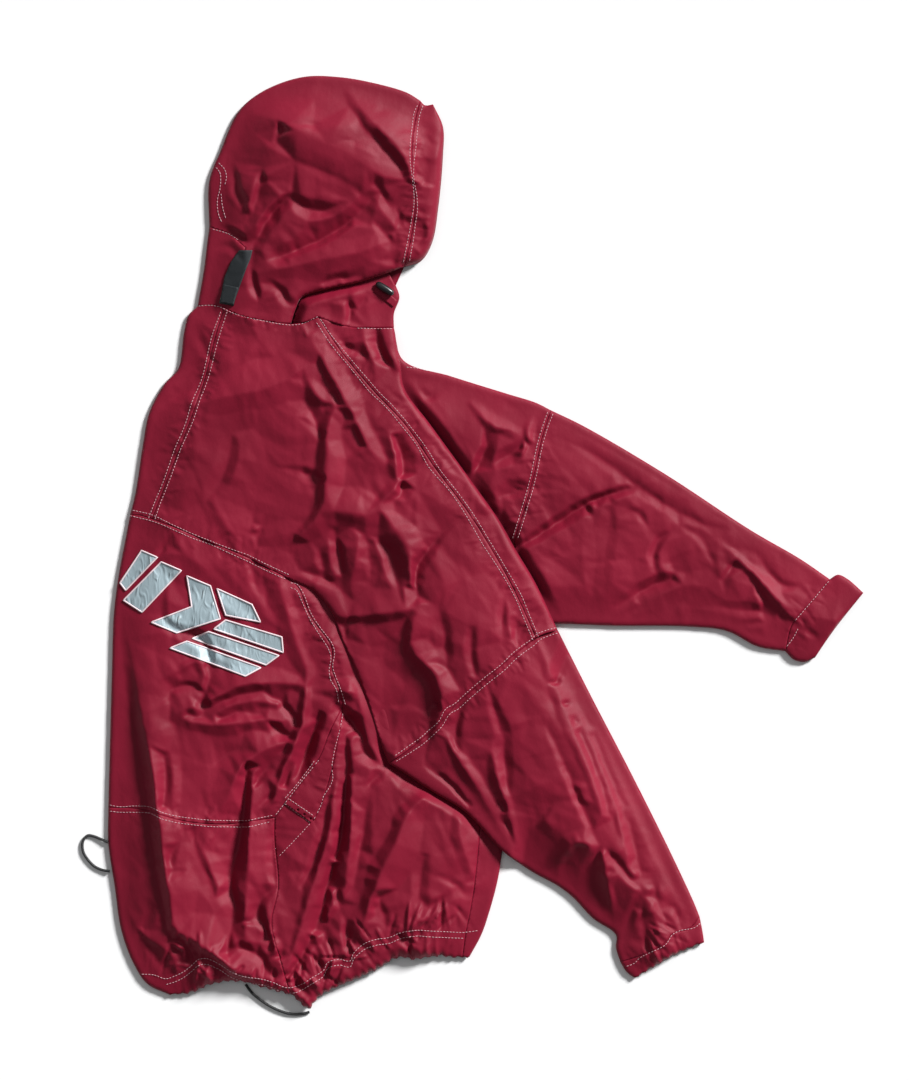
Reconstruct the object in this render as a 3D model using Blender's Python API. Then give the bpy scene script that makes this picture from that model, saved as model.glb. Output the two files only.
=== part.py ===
"""Hooded pull-over anorak in thin woven nylon, laid out on its left side.

Plan view: the back is to the left (-X), the hood at the top (+Y), both sleeves
point to the right. Every cut piece is one closed solid with a thin wall. A piece
that goes round a fold has an upper side and a floor side that share the fold's
edge. All tables are in millimetres; the mesh is made in metres.
"""
import math

import bpy
import numpy as np
from mathutils import Vector
from mathutils.bvhtree import BVHTree
from mathutils.geometry import delaunay_2d_cdt

MM = 0.001                    # metres in a millimetre

# ---- driving sizes (mm) -------------------------------------------------
WALL = 1.5                    # cloth wall, with its air and crinkle
SEAM_GAP = 0.3                # space between neighbouring pieces
GRID = 20.5                   # spacing of points on the upper side
FLOOR_GRID = 90.0             # spacing of points on the floor side
OUTLINE_STEP = 12.0           # spacing of points along edges
RIM_ROWS = (3.2, 9.0)         # rows of points this far in from folds and free edges
ROW_SHARE = 0.866             # rows of an even triangular grid, as a share of its spacing
GRID_CLEAR, GRID_APART = 0.45, 0.55   # grid points keep off edges and others, in spacings
ROW_CLEAR, ROW_APART = 2.2, 4.5       # rows along folds do so, in mm
FADE_OUT, FADE_IN = 0.12, 0.22        # how a fold fades at its ends, in lengths
TRIM_STEP = 8.0               # spacing of points on what lies on a panel
PUFF = 16.0                   # usual height of the upper side
HIDDEN_LEVEL = 6.5            # height of a lower sheet under an upper one
FLAP_EDGE = 12.0              # height of an upper sheet's free edge
FOLD_MIDDLE = 3.4             # widest point of a rounded fold, above its floor
FOLD_RADIUS = 8.0             # the rounding of a folded edge
FOLD_LEVEL = 8.5              # height of the upper side just inside that rounding
FOLD_REACH = 60.0             # how far in the upper side reaches its full height
FLOOR_RADIUS = 7.0            # the same on the floor side
MOUTH_EDGE = 4.6              # height of the upper side at an open edge
MOUTH_RADIUS = 26.0           # how far in from an open edge it reaches its full height
FLAP_RADIUS = 9.0
TUCK_START, TUCK_END = -13.0, 1.0   # where a lower sheet sinks before an edge
SLEEVE_REST = 9.0             # floor side of the right sleeve where it lies on the body
REST_START, REST_END = -26.0, -7.0  # where it comes down, outside the body's edge
MAX_SLOPE = 1.2               # steeper places thin the wall instead of leaning further
CORD_RADIUS = 1.5

# ---- colours (linear) and finish ---------------------------------------
MATERIALS = {
    # name: (red, green, blue, roughness, metallic)
    "nylon_red": (0.262, 0.026, 0.044, 0.46, 0.0),
    "applique_silver": (0.520, 0.600, 0.620, 0.38, 0.35),
    "webbing_black": (0.010, 0.013, 0.016, 0.70, 0.0),
    "plastic_black": (0.008, 0.008, 0.009, 0.35, 0.0),
    "cord_black": (0.012, 0.012, 0.013, 0.75, 0.0),
}

# ---- edges and seams in plan: points are x, y ---------------------------
EDGES = {
    # silhouette of the body, from the rear of the neck down the back and round the hem
    "back_fold_top": [(-315, 258), (-325, 248), (-330, 228), (-336, 190), (-351, 173), (-368, 141),
                      (-375, 106), (-383, 54), (-389, 29)],
    "back_fold_middle": [(-389, 29), (-395, -2), (-402, -40), (-407, -80), (-409, -140),
                         (-411, -215), (-413, -293)],
    "back_fold_low": [(-413, -293), (-413, -332), (-406, -380), (-399, -427), (-386, -463),
                      (-370, -487), (-345, -499)],
    "hem_back": [(-345, -499), (-318, -495), (-301, -487), (-281, -483), (-262, -485), (-240, -491),
                 (-213, -498)],
    "hem_front": [(-213, -498), (-193, -513), (-181, -500), (-161, -490), (-121, -472), (-92, -457),
                  (-77, -460), (-54, -456), (-24, -458)],
    "hem_centre": [(-24, -458), (-16, -457)],
    "front_fold": [(-16, -457), (-3, -433), (6, -407), (15, -373), (20, -342), (29, -290), (38, -235),
                   (50, -175), (64, -130), (78, -96)],
    "front_seam": [(-24, -458), (-20, -430), (-14, -400), (-9, -365), (-5, -325), (2, -270),
                   (12, -210), (24, -150), (40, -112)],
    # seams of the body
    "neck_rear_left": [(-315, 258), (-300, 259), (-286, 256)],
    "neck_rear_right": [(-286, 256), (-270, 248), (-240, 241), (-212, 238)],
    "neck_side": [(-212, 238), (-197, 240), (-182, 246)],
    "neck_front": [(-182, 246), (-160, 238), (-140, 234), (-99, 234)],
    "centre_back": [(-286, 256), (-296, 222), (-307, 178), (-324, 129), (-348, 68), (-365, 24)],
    "yoke_left": [(-389, 29), (-378, 28), (-365, 24)],
    "yoke_right": [(-365, 24), (-340, 15), (-300, -2), (-260, -18), (-237, -30), (-213, -42)],
    "side_seam": [(-213, -42), (-204, -51), (-191, -82), (-168, -116), (-167, -141), (-159, -163),
                  (-155, -183)],
    "pocket_front": [(-155, -183), (-158, -206), (-167, -249), (-176, -281), (-187, -307)],
    "pocket_end": [(-187, -307), (-217, -286)],
    "pocket_back": [(-217, -286), (-199, -263), (-181, -238), (-168, -206), (-155, -183)],
    "pocket_tail": [(-217, -286), (-230, -304)],
    "lower_back": [(-413, -293), (-382, -294), (-358, -299), (-325, -308), (-280, -311), (-254, -307),
                   (-230, -304)],
    "side_low": [(-230, -304), (-230, -330), (-226, -380), (-233, -420), (-222, -465), (-213, -498)],
    "shoulder_seam": [(-182, 246), (-158, 209), (-120, 163), (-87, 128), (-54, 80), (-16, 29),
                      (19, -28), (47, -84), (56, -106)],
    "armhole_right_tail": [(56, -106), (68, -101), (81, -98)],
    "armhole_right": [(56, -106), (41, -118), (1, -152), (-31, -180), (-48, -200), (-78, -225),
                      (-105, -244)],
    # free edges of the upper sheet
    "flap_side": [(-105, -244), (-111, -229), (-122, -191), (-137, -151), (-156, -107), (-168, -78),
                  (-188, -54), (-213, -42)],
    "flap_front": [(-99, 234), (-92, 196), (-87, 167), (-59, 128), (-19, 73), (17, 22), (34, -8),
                   (57, -47), (81, -98)],
    # far shoulder and far armhole
    "far_shoulder": [(-99, 234), (-89, 199), (-36, 181), (25, 162), (57, 152), (73, 144)],
    "far_armhole": [(73, 144), (63, 112), (55, 75), (44, 35), (33, -4), (40, -35), (54, -70), (66, -92)],
    "far_hidden_body": [(66, -92), (4, -62), (-60, 20), (-110, 110), (-140, 190), (-99, 234)],
    "far_corner": [(66, -92), (56, -106)],
    # floor-side seams, plain copies of the near side's
    "floor_yoke": [(-389, 29), (-300, -2), (-213, -42)],
    "floor_yoke_front": [(-213, -42), (-80, -85), (56, -106)],
    "floor_side": [(-213, -42), (-195, -170), (-222, -300)],
    "floor_side_low": [(-222, -300), (-218, -400), (-213, -498)],
    "floor_lower_back": [(-413, -293), (-320, -304), (-222, -300)],
    # hidden edges of the sheets that run on under the upper one
    "front_hidden_top": [(40, -112), (-10, -75), (-80, -45), (-150, -35), (-213, -42)],
    "front_strip_top": [(78, -96), (58, -102), (40, -112)],
    "floor_underarm": [(78, -96), (68, -99), (56, -106)],
    # near sleeve
    "sleeve_right_outer": [(81, -98), (120, -175), (159, -250), (202, -336), (231, -398), (237, -413)],
    "sleeve_right_cuff": [(237, -413), (225, -426), (208, -431), (196, -443), (176, -454), (150, -463)],
    "sleeve_right_inner": [(150, -463), (145, -447), (145, -433), (120, -415), (97, -391), (81, -379),
                           (52, -363), (20, -340), (-20, -298), (-60, -273), (-90, -253), (-105, -244)],
    "cuff_right_outer": [(237, -413), (240, -428), (242, -441)],
    "cuff_right_mouth": [(242, -441), (219, -450), (198, -461), (165, -480)],
    "cuff_right_inner": [(165, -480), (157, -474), (150, -463)],
    # far sleeve
    "sleeve_left_outer": [(73, 144), (110, 126), (200, 73), (293, 12), (348, -20), (380, -42)],
    "sleeve_left_cuff": [(380, -42), (361, -65), (339, -90), (331, -121)],
    "sleeve_left_inner": [(331, -121), (301, -116), (267, -99), (224, -94), (140, -93), (81, -91),
                          (66, -92)],
    "cuff_left_outer": [(380, -42), (389, -37), (400, -42), (417, -57)],
    "cuff_left_mouth": [(417, -57), (389, -92), (376, -110), (364, -128)],
    "cuff_left_inner": [(364, -128), (352, -133), (340, -130), (331, -121)],
    # hood
    "hood_rear_edge": [(-315, 258), (-308, 298), (-305, 322), (-302, 345)],
    "hood_crown": [(-302, 345), (-302, 396), (-290, 428), (-270, 472), (-244, 494), (-200, 510),
                   (-159, 510), (-119, 503), (-85, 493), (-70, 484)],
    "hood_seam_rear": [(-302, 345), (-280, 337), (-262, 322)],
    "hood_seam_strap": [(-262, 322), (-270, 295), (-279, 270), (-286, 256)],
    "hood_roll": [(-212, 238), (-207, 254), (-200, 267), (-169, 277), (-137, 284), (-109, 293),
                  (-88, 301)],
    "brim_seam": [(-88, 301), (-80, 335), (-76, 368), (-79, 405), (-78, 445), (-74, 470), (-70, 484)],
    "brim_crown": [(-70, 484), (-65, 479), (-56, 480)],
    "brim_mouth": [(-56, 480), (-45, 455), (-45, 424), (-50, 368), (-57, 328), (-69, 308), (-88, 301)],
    "collar_hidden": [(-207, 254), (-190, 290), (-150, 306), (-112, 302), (-97, 281)],
    "collar_root": [(-212, 238), (-207, 254)],
    "collar_front": [(-97, 281), (-93, 268), (-99, 250), (-99, 234)],
    "floor_collar": [(-97, 281), (-140, 270), (-212, 238)],
    "floor_hood_low": [(-88, 301), (-97, 281)],
}

# Broad rises and hollows of the upper side.
MOUNDS = [
    # x, y, radius along, radius across, turn (degrees), height
    (-180, 400, 130, 95, 0, 11.0),
    (-150, 90, 150, 110, -50, 7.0),
    (-30, -90, 130, 70, -50, 9.0),
    (100, -270, 170, 60, -60, 9.0),
    (-330, -380, 110, 60, -75, 4.5),
    (-80, -370, 100, 60, -70, 3.0),
    (170, 20, 160, 60, -25, -1.5),
    (-150, 250, 60, 30, 0, -3.0),
    (-300, -150, 120, 70, -85, -1.5),
]

# Largest folds. A row is a soft ridge (height > 0) or trough (height < 0).
FOLDS = [
    # x0, y0, x1, y1, bow, half width, height
    # back, below the yoke
    (-402, -72, -366, -290, -4, 13, -5.5),
    (-366, -290, -338, -432, 4, 12, -5.5),
    (-338, -432, -272, -486, 3, 11, -4.5),
    (-390, -320, -372, -440, -6, 13, 2.5),
    (-338, -190, -205, -156, 14, 11, -4.5),
    (-326, -183, -222, -180, 4, 9, 2.5),
    (-338, -201, -214, -222, 7, 12, -4.0),
    (-280, -262, -220, -212, -9, 10, -3.5),
    (-352, -80, -297, -143, 12, 9, -3.0),
    (-340, -165, -312, -134, 10, 9, -2.5),
    (-195, -150, -213, -234, -3, 9, 3.5),
    (-185, -190, -197, -262, 0, 10, -4.5),
    (-258, -250, -262, -330, 4, 10, -4.0),
    (-270, -332, -276, -420, 8, 11, -4.5),
    (-300, -330, -285, -440, 8, 20, 3.0),
    (-322, -360, -250, -475, -8, 9, -3.0),
    # front
    (-151, -200, -158, -340, 5, 10, -5.0),
    (-158, -340, -212, -486, -7, 10, -5.0),
    (-128, -300, -140, -420, 4, 14, 3.0),
    (-90, -282, -138, -452, 8, 12, -5.0),
    (-172, -395, -148, -468, -5, 9, -3.5),
    (-70, -300, -28, -420, 12, 22, 2.5),
    (-62, -412, -92, -452, 4, 9, -3.0),
    (-226, -352, -214, -470, -5, 13, 2.5),
    # yoke
    (-190, 214, -122, 94, -4, 9, -4.0),
    (-172, 156, -174, 62, -6, 12, -5.0),
    (-174, 62, -206, 4, 3, 12, -4.5),
    (-200, 6, -96, 22, 6, 13, -4.0),
    (-96, 22, -82, -46, 8, 14, -4.5),
    (-114, 44, -76, -36, -7, 10, 4.0),
    (-98, 112, -114, 44, 10, 9, 3.0),
    (-84, 108, -92, 52, 4, 8, -3.5),
    (-76, -38, -48, 10, -3, 8, -3.5),
    (-148, -99, -68, -73, 4, 10, -3.5),
    (-68, -73, -101, -119, -5, 9, -3.5),
    (-101, -119, -48, -196, 20, 12, -5.5),
    (-318, 142, -208, 168, -10, 18, -3.0),
    (-280, 120, -312, 40, -8, 16, -2.0),
    (-15, -110, 0, -150, 0, 10, -2.5),
    # far shoulder and far sleeve
    (-16, 70, 8, 108, 0, 8, -4.0),
    (-10, 150, 38, 120, -6, 9, -3.0),
    (2, 44, 60, 96, -6, 14, -3.0),
    (40, -7, 168, 58, 14, 10, -5.0),
    (76, 116, 170, 60, 5, 12, -5.0),
    (170, 60, 296, -12, 3, 11, -5.0),
    (145, -68, 220, -40, 4, 10, -3.5),
    (228, 26, 252, -60, 5, 10, -3.5),
    (268, -10, 336, -86, 2, 10, -4.0),
    (256, -82, 338, -90, 3, 12, -3.5),
    (190, -30, 215, 20, 6, 14, 2.5),
    # near sleeve
    (70, -120, 134, -320, 4, 12, -4.0),
    (92, -170, 172, -330, 0, 10, -4.0),
    (172, -330, 200, -400, 2, 9, -3.5),
    (-64, -246, 34, -346, -3, 11, -4.0),
    (-44, -214, 6, -306, -6, 12, -3.0),
    (50, -200, 96, -270, 0, 22, 3.0),
    (100, -332, 88, -378, 5, 10, -3.5),
    (122, -330, 150, -440, 4, 10, -3.5),
    (176, -350, 182, -440, -3, 9, -3.0),
    (212, -400, 214, -424, 0, 9, -3.0),
    # hood
    (-256, 316, -212, 382, 12, 12, -6.0),
    (-236, 308, -122, 376, -14, 13, -5.0),
    (-210, 345, -150, 372, 5, 16, 3.0),
    (-152, 476, -82, 404, -8, 13, -5.0),
    (-250, 452, -96, 388, 4, 26, -4.0),
    (-266, 440, -272, 372, -4, 10, -3.0),
    (-240, 405, -252, 352, 4, 11, -3.0),
    (-120, 374, -90, 330, 2, 10, -2.5),
    (-262, 300, -248, 262, 4, 10, -3.0),
    (-220, 290, -120, 305, 6, 14, 2.5),
    (-150, 250, -112, 268, 2, 9, -3.0),
]

# Gathered edges: small regular waves across an edge.
GATHERS = [
    # edge, wave length, height, reach inwards
    ("cuff_right_mouth", 11.0, 0.9, 30.0),
    ("hem_back", 22.0, 1.2, 26.0),
    ("hem_front", 22.0, 1.2, 26.0),
]


# ---- plan geometry ------------------------------------------------------
def curve_through(points, step):
    """A Catmull-Rom curve through the points, sampled about every step mm."""
    pts = [np.array(p, float) for p in points]
    if len(pts) == 2:
        count = max(1, round(np.linalg.norm(pts[1] - pts[0]) / step))
        return [pts[0] + (pts[1] - pts[0]) * i / count for i in range(count + 1)]
    ends = [2 * pts[0] - pts[1]] + pts + [2 * pts[-1] - pts[-2]]
    out = []
    for a, b, c, d in zip(ends, ends[1:], ends[2:], ends[3:]):
        t0 = 0.0
        t1 = t0 + np.linalg.norm(b - a) ** 0.5
        t2 = t1 + np.linalg.norm(c - b) ** 0.5
        t3 = t2 + np.linalg.norm(d - c) ** 0.5
        count = max(1, round(np.linalg.norm(c - b) / step))
        for i in range(count):
            t = t1 + (t2 - t1) * i / count
            ab = a + (b - a) * (t - t0) / (t1 - t0)
            bc = b + (c - b) * (t - t1) / (t2 - t1)
            cd = c + (d - c) * (t - t2) / (t3 - t2)
            abc = ab + (bc - ab) * (t - t0) / (t2 - t0)
            bcd = bc + (cd - bc) * (t - t1) / (t3 - t1)
            out.append(abc + (bcd - abc) * (t - t1) / (t2 - t1))
    out.append(pts[-1])
    return out


LINES = {name: curve_through(points, OUTLINE_STEP) for name, points in EDGES.items()}


def distance_to(lines, xy):
    """Distance from each point to the nearest of the named lines."""
    best = np.full(len(xy), 1e9)
    for name in lines:
        line = np.array(LINES[name])
        for a, b in zip(line, line[1:]):
            ab = b - a
            t = np.clip(((xy - a) @ ab) / (ab @ ab), 0.0, 1.0)
            best = np.minimum(best, np.linalg.norm(xy - a - t[:, None] * ab, axis=1))
    return best


def inside(loop, xy):
    """True for each point inside the closed loop."""
    hit = np.zeros(len(xy), bool)
    x, y = xy[:, 0], xy[:, 1]
    for (x0, y0), (x1, y1) in zip(loop, np.roll(loop, -1, axis=0)):
        if y0 == y1:
            continue
        crosses = (y0 > y) != (y1 > y)
        hit ^= crosses & (x < (x1 - x0) * (y - y0) / (y1 - y0) + x0)
    return hit


def chain(names):
    """Join named lines end to end; a leading '-' runs one backwards."""
    loop = []
    for name in names:
        line = LINES[name.lstrip("-")]
        loop.extend(line[:0:-1] if name.startswith("-") else line[:-1])
    return np.array(loop)


def smooth(low, high, value):
    t = np.clip((value - low) / (high - low), 0.0, 1.0)
    return t * t * (3.0 - 2.0 * t)


def quarter_round(t):
    """Rises from 0 to 1 like the side of a rounded fold."""
    t = np.clip(t, 0.0, 1.0)
    return np.sqrt(np.maximum(0.0, 1.0 - (1.0 - t) ** 2))


# ---- heights ------------------------------------------------------------
def open_cloth(xy):
    """Height of the upper side before edges: broad mounds, folds and gathers."""
    x, y = xy[:, 0], xy[:, 1]
    z = np.full(len(xy), PUFF)
    for cx, cy, along, across, turn, height in MOUNDS:
        c, s = math.cos(math.radians(turn)), math.sin(math.radians(turn))
        u = ((x - cx) * c + (y - cy) * s) / along
        v = ((y - cy) * c - (x - cx) * s) / across
        z += height * np.exp(-(u * u + v * v))
    for x0, y0, x1, y1, bow, half, height in FOLDS:
        length = math.hypot(x1 - x0, y1 - y0)
        ux, uy = (x1 - x0) / length, (y1 - y0) / length
        u = ((x - x0) * ux + (y - y0) * uy) / length
        v = (y - y0) * ux - (x - x0) * uy - bow * 4.0 * u * (1.0 - u)
        ends = smooth(-FADE_OUT, FADE_IN, u) * smooth(1.0 + FADE_OUT, 1.0 - FADE_IN, u)
        z += height * ends * np.exp(-(v / half) ** 2)
    for edge, wave, height, reach in GATHERS:
        line = LINES[edge]
        ux, uy = line[-1] - line[0]
        along = ((x - line[0][0]) * ux + (y - line[0][1]) * uy) / math.hypot(ux, uy)
        near = smooth(reach, 0.0, distance_to([edge], xy))
        z += height * near * np.sin(2 * math.pi * along / wave)
    return z


COVER = chain(["shoulder_seam", "armhole_right_tail", "sleeve_right_outer", "sleeve_right_cuff",
               "sleeve_right_inner", "flap_side", "-yoke_right", "-centre_back", "neck_rear_right",
               "neck_side"])
NEAR_SHOULDER = chain(["neck_front", "flap_front", "-armhole_right_tail", "-shoulder_seam"])
HOOD_COVER = chain(["hood_roll", "brim_seam", "-hood_crown", "hood_seam_rear", "hood_seam_strap",
                    "neck_rear_right"])
BODY_PLAN = chain(["back_fold_top", "back_fold_middle", "back_fold_low", "hem_back", "hem_front",
                   "hem_centre", "front_fold", "floor_underarm", "-shoulder_seam", "-neck_side",
                   "-neck_rear_right", "-neck_rear_left"])


def depth_under(xy):
    """How far each point lies in under the upper sheet; negative outside it."""
    edges = ["flap_side", "sleeve_right_inner", "sleeve_right_outer", "flap_front"]
    covered = inside(COVER, xy) | inside(NEAR_SHOULDER, xy)
    return np.where(covered, 1.0, -1.0) * distance_to(edges, xy)


def rim(z, base, xy, folds=(), mouths=(), flaps=()):
    """Bring the height down at rounded folds, open edges and free edges."""
    if folds:
        edge = base + FOLD_MIDDLE
        away = distance_to(folds, xy)
        near = np.minimum(1.0, (base + FOLD_LEVEL - edge) / np.maximum(z - edge, 1.0))
        near = near + (1.0 - near) * smooth(0.0, FOLD_REACH, away)
        z = edge + (z - edge) * near * quarter_round(away / FOLD_RADIUS)
    if mouths:
        edge = base + MOUTH_EDGE
        z = edge + (z - edge) * quarter_round(distance_to(mouths, xy) / MOUTH_RADIUS)
    if flaps:
        z = FLAP_EDGE + (z - FLAP_EDGE) * quarter_round(distance_to(flaps, xy) / FLAP_RADIUS)
    return z


def body_top(xy):
    z = open_cloth(xy)
    hidden = smooth(TUCK_START, TUCK_END, depth_under(xy))
    z = z + (HIDDEN_LEVEL - z) * hidden
    return rim(z, 0.0, xy, folds=("back_fold_top", "back_fold_middle", "back_fold_low", "front_fold"),
               mouths=("hem_back", "hem_front", "hem_centre"))


def yoke_top(xy):
    return rim(open_cloth(xy), 0.0, xy, folds=("back_fold_top",), flaps=("flap_side", "flap_front"))


def far_top(xy):
    z = open_cloth(xy) - 3.0
    z = z + (HIDDEN_LEVEL - z) * smooth(TUCK_START, TUCK_END, depth_under(xy))
    return rim(z, 0.0, xy, folds=("far_shoulder", "sleeve_left_outer", "sleeve_left_inner",
                                  "cuff_left_outer", "cuff_left_inner"),
               mouths=("cuff_left_mouth",))


def sleeve_rest(xy):
    """Floor side of the near sleeve: up on the body, down on the surface beyond it."""
    depth = np.where(inside(BODY_PLAN, xy), 1.0, -1.0) * distance_to(["front_fold"], xy)
    return SLEEVE_REST * smooth(REST_START, REST_END, depth)


def near_sleeve_top(xy):
    return rim(open_cloth(xy), sleeve_rest(xy), xy,
               folds=("sleeve_right_outer", "sleeve_right_inner", "cuff_right_outer", "cuff_right_inner"),
               mouths=("cuff_right_mouth",))


def hood_top(xy):
    return rim(open_cloth(xy), 0.0, xy, folds=("hood_rear_edge", "hood_crown", "brim_crown"),
               mouths=("brim_mouth",), flaps=("hood_roll",))


def collar_top(xy):
    z = open_cloth(xy)
    depth = np.where(inside(HOOD_COVER, xy), 1.0, -1.0) * distance_to(["hood_roll"], xy)
    z = z + (HIDDEN_LEVEL - z) * smooth(TUCK_START, TUCK_END, depth)
    return rim(z, 0.0, xy, folds=("collar_front",))


def floor(xy):
    """Floor side of everything that lies on the surface."""
    return np.zeros(len(xy))


# ---- solids -------------------------------------------------------------
def make_material(name):
    red, green, blue, roughness, metallic = MATERIALS[name]
    material = bpy.data.materials.new(name)
    material.use_nodes = True
    shader = material.node_tree.nodes["Principled BSDF"]
    shader.inputs["Base Color"].default_value = (red, green, blue, 1.0)
    shader.inputs["Roughness"].default_value = roughness
    shader.inputs["Metallic"].default_value = metallic
    material.diffuse_color = (red, green, blue, 1.0)
    return material


def add_mesh(name, points_mm, faces, material):
    """One closed body; a material of its own, named after it."""
    mesh = bpy.data.meshes.new(name)
    mesh.from_pydata([Vector(p) * MM for p in points_mm], [], faces)
    mesh.materials.append(make_material(material))
    mesh.materials[0].name = name + "_" + material
    mesh.validate()
    obj = bpy.data.objects.new(name, mesh)
    bpy.context.scene.collection.objects.link(obj)
    return obj


def inset_loop(names, kept):
    """The closed outline of a piece, moved in by half a seam gap except along kept lines."""
    points, kinds = [], []
    for name in names:
        line = LINES[name.lstrip("-")]
        line = line[:0:-1] if name.startswith("-") else line[:-1]
        points.extend(line)
        kinds.extend([name.lstrip("-")] * len(line))
    loop = np.array(points)
    area = 0.5 * np.sum(loop[:, 0] * np.roll(loop[:, 1], -1) - loop[:, 1] * np.roll(loop[:, 0], -1))
    if area < 0:
        loop = loop[::-1]
        kinds = kinds[::-1][1:] + kinds[::-1][:1]
    out = []
    for i, p in enumerate(loop):
        before, after = loop[i - 1], loop[(i + 1) % len(loop)]
        e0, e1 = p - before, after - p
        n0 = np.array([-e0[1], e0[0]]) / np.linalg.norm(e0)
        n1 = np.array([-e1[1], e1[0]]) / np.linalg.norm(e1)
        w0 = 0.0 if kinds[i - 1] in kept else SEAM_GAP / 2
        w1 = 0.0 if kinds[i] in kept else SEAM_GAP / 2
        if w0 == 0.0 and w1 == 0.0:
            out.append(p)
            continue
        cross = n0[0] * n1[1] - n0[1] * n1[0]
        if abs(cross) < 0.05:
            out.append(p + 0.5 * (n0 + n1) * max(w0, w1) if w0 == w1 else p + n0 * w0 + n1 * w1)
            continue
        shift = np.array([w0 * n1[1] - w1 * n0[1], w1 * n0[0] - w0 * n1[0]]) / cross
        out.append(p + shift)
    return np.array(out), kinds


def fold_vertices(kinds, folds):
    """Index pairs of the loop's edges that lie on a fold."""
    count = len(kinds)
    return [(i, (i + 1) % count) for i in range(count) if kinds[i] in folds]


def fill(loop, step, extra=()):
    """Triangles over the plan inside a loop, with a grid and any extra points."""
    low, high = loop.min(axis=0), loop.max(axis=0)
    grid = []
    row = 0
    y = low[1] + step / 2
    while y < high[1]:
        x = low[0] + step * (0.5 if row % 2 else 1.0)
        while x < high[0]:
            grid.append((x, y))
            x += step
        y += step * ROW_SHARE
        row += 1
    candidates = np.array(list(extra) + grid) if (grid or len(extra)) else np.zeros((0, 2))
    points = list(loop)
    if len(candidates):
        ok = inside(loop, candidates)
        edge = np.full(len(candidates), 1e9)
        for a, b in zip(loop, np.roll(loop, -1, axis=0)):
            ab = b - a
            t = np.clip(((candidates - a) @ ab) / max(ab @ ab, 1e-9), 0.0, 1.0)
            edge = np.minimum(edge, np.linalg.norm(candidates - a - t[:, None] * ab, axis=1))
        kept = []
        for i, p in enumerate(candidates):
            near = ROW_CLEAR if i < len(extra) else step * GRID_CLEAR
            if not ok[i] or edge[i] < near:
                continue
            apart = ROW_APART if i < len(extra) else step * GRID_APART
            if kept and np.min(np.linalg.norm(np.array(kept) - p, axis=1)) < apart:
                continue
            kept.append(p)
        points.extend(kept)
    result = delaunay_2d_cdt([Vector(p) for p in points], [], [list(range(len(loop)))], 1, 1e-4)
    faces, origins = result[2], result[3]
    tris = [[origins[v][0] for v in face] for face in faces]
    return np.array(points), tris


def near_fold_points(names):
    """Rows of points a little inside the named lines, on both sides of each."""
    rows = []
    for name in names:
        line = np.array(LINES[name])
        tangent = np.gradient(line, axis=0)
        normal = np.stack([-tangent[:, 1], tangent[:, 0]], axis=1)
        normal /= np.linalg.norm(normal, axis=1)[:, None]
        for d in RIM_ROWS:
            rows.extend(line + normal * d)
            rows.extend(line - normal * d)
    return rows


def fold_points():
    """Points along the middle and the feet of every large fold."""
    rows = []
    for x0, y0, x1, y1, bow, half, _ in FOLDS:
        length = math.hypot(x1 - x0, y1 - y0)
        ux, uy = (x1 - x0) / length, (y1 - y0) / length
        count = max(2, round(length / (GRID * 1.1)))
        for i in range(count + 1):
            u = i / count
            v = bow * 4.0 * u * (1.0 - u)
            x, y = x0 + (x1 - x0) * u - uy * v, y0 + (y1 - y0) * u + ux * v
            rows.append((x, y))
            if 0 < i < count and i % 2:
                reach = half * 1.15
                rows.append((x - uy * reach, y + ux * reach))
                rows.append((x + uy * reach, y - ux * reach))
    return rows


FOLD_POINTS = fold_points()


def slope_normal(height, xy):
    """Unit normals of a height function, by small steps."""
    step = 0.4
    dx = (height(xy + [step, 0]) - height(xy - [step, 0])) / (2 * step)
    dy = (height(xy + [0, step]) - height(xy - [0, step])) / (2 * step)
    ease = MAX_SLOPE / np.maximum(MAX_SLOPE, np.hypot(dx, dy))
    dx, dy = dx * ease, dy * ease
    normal = np.stack([-dx, -dy, np.ones(len(xy))], axis=1)
    return normal / np.linalg.norm(normal, axis=1)[:, None]


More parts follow.
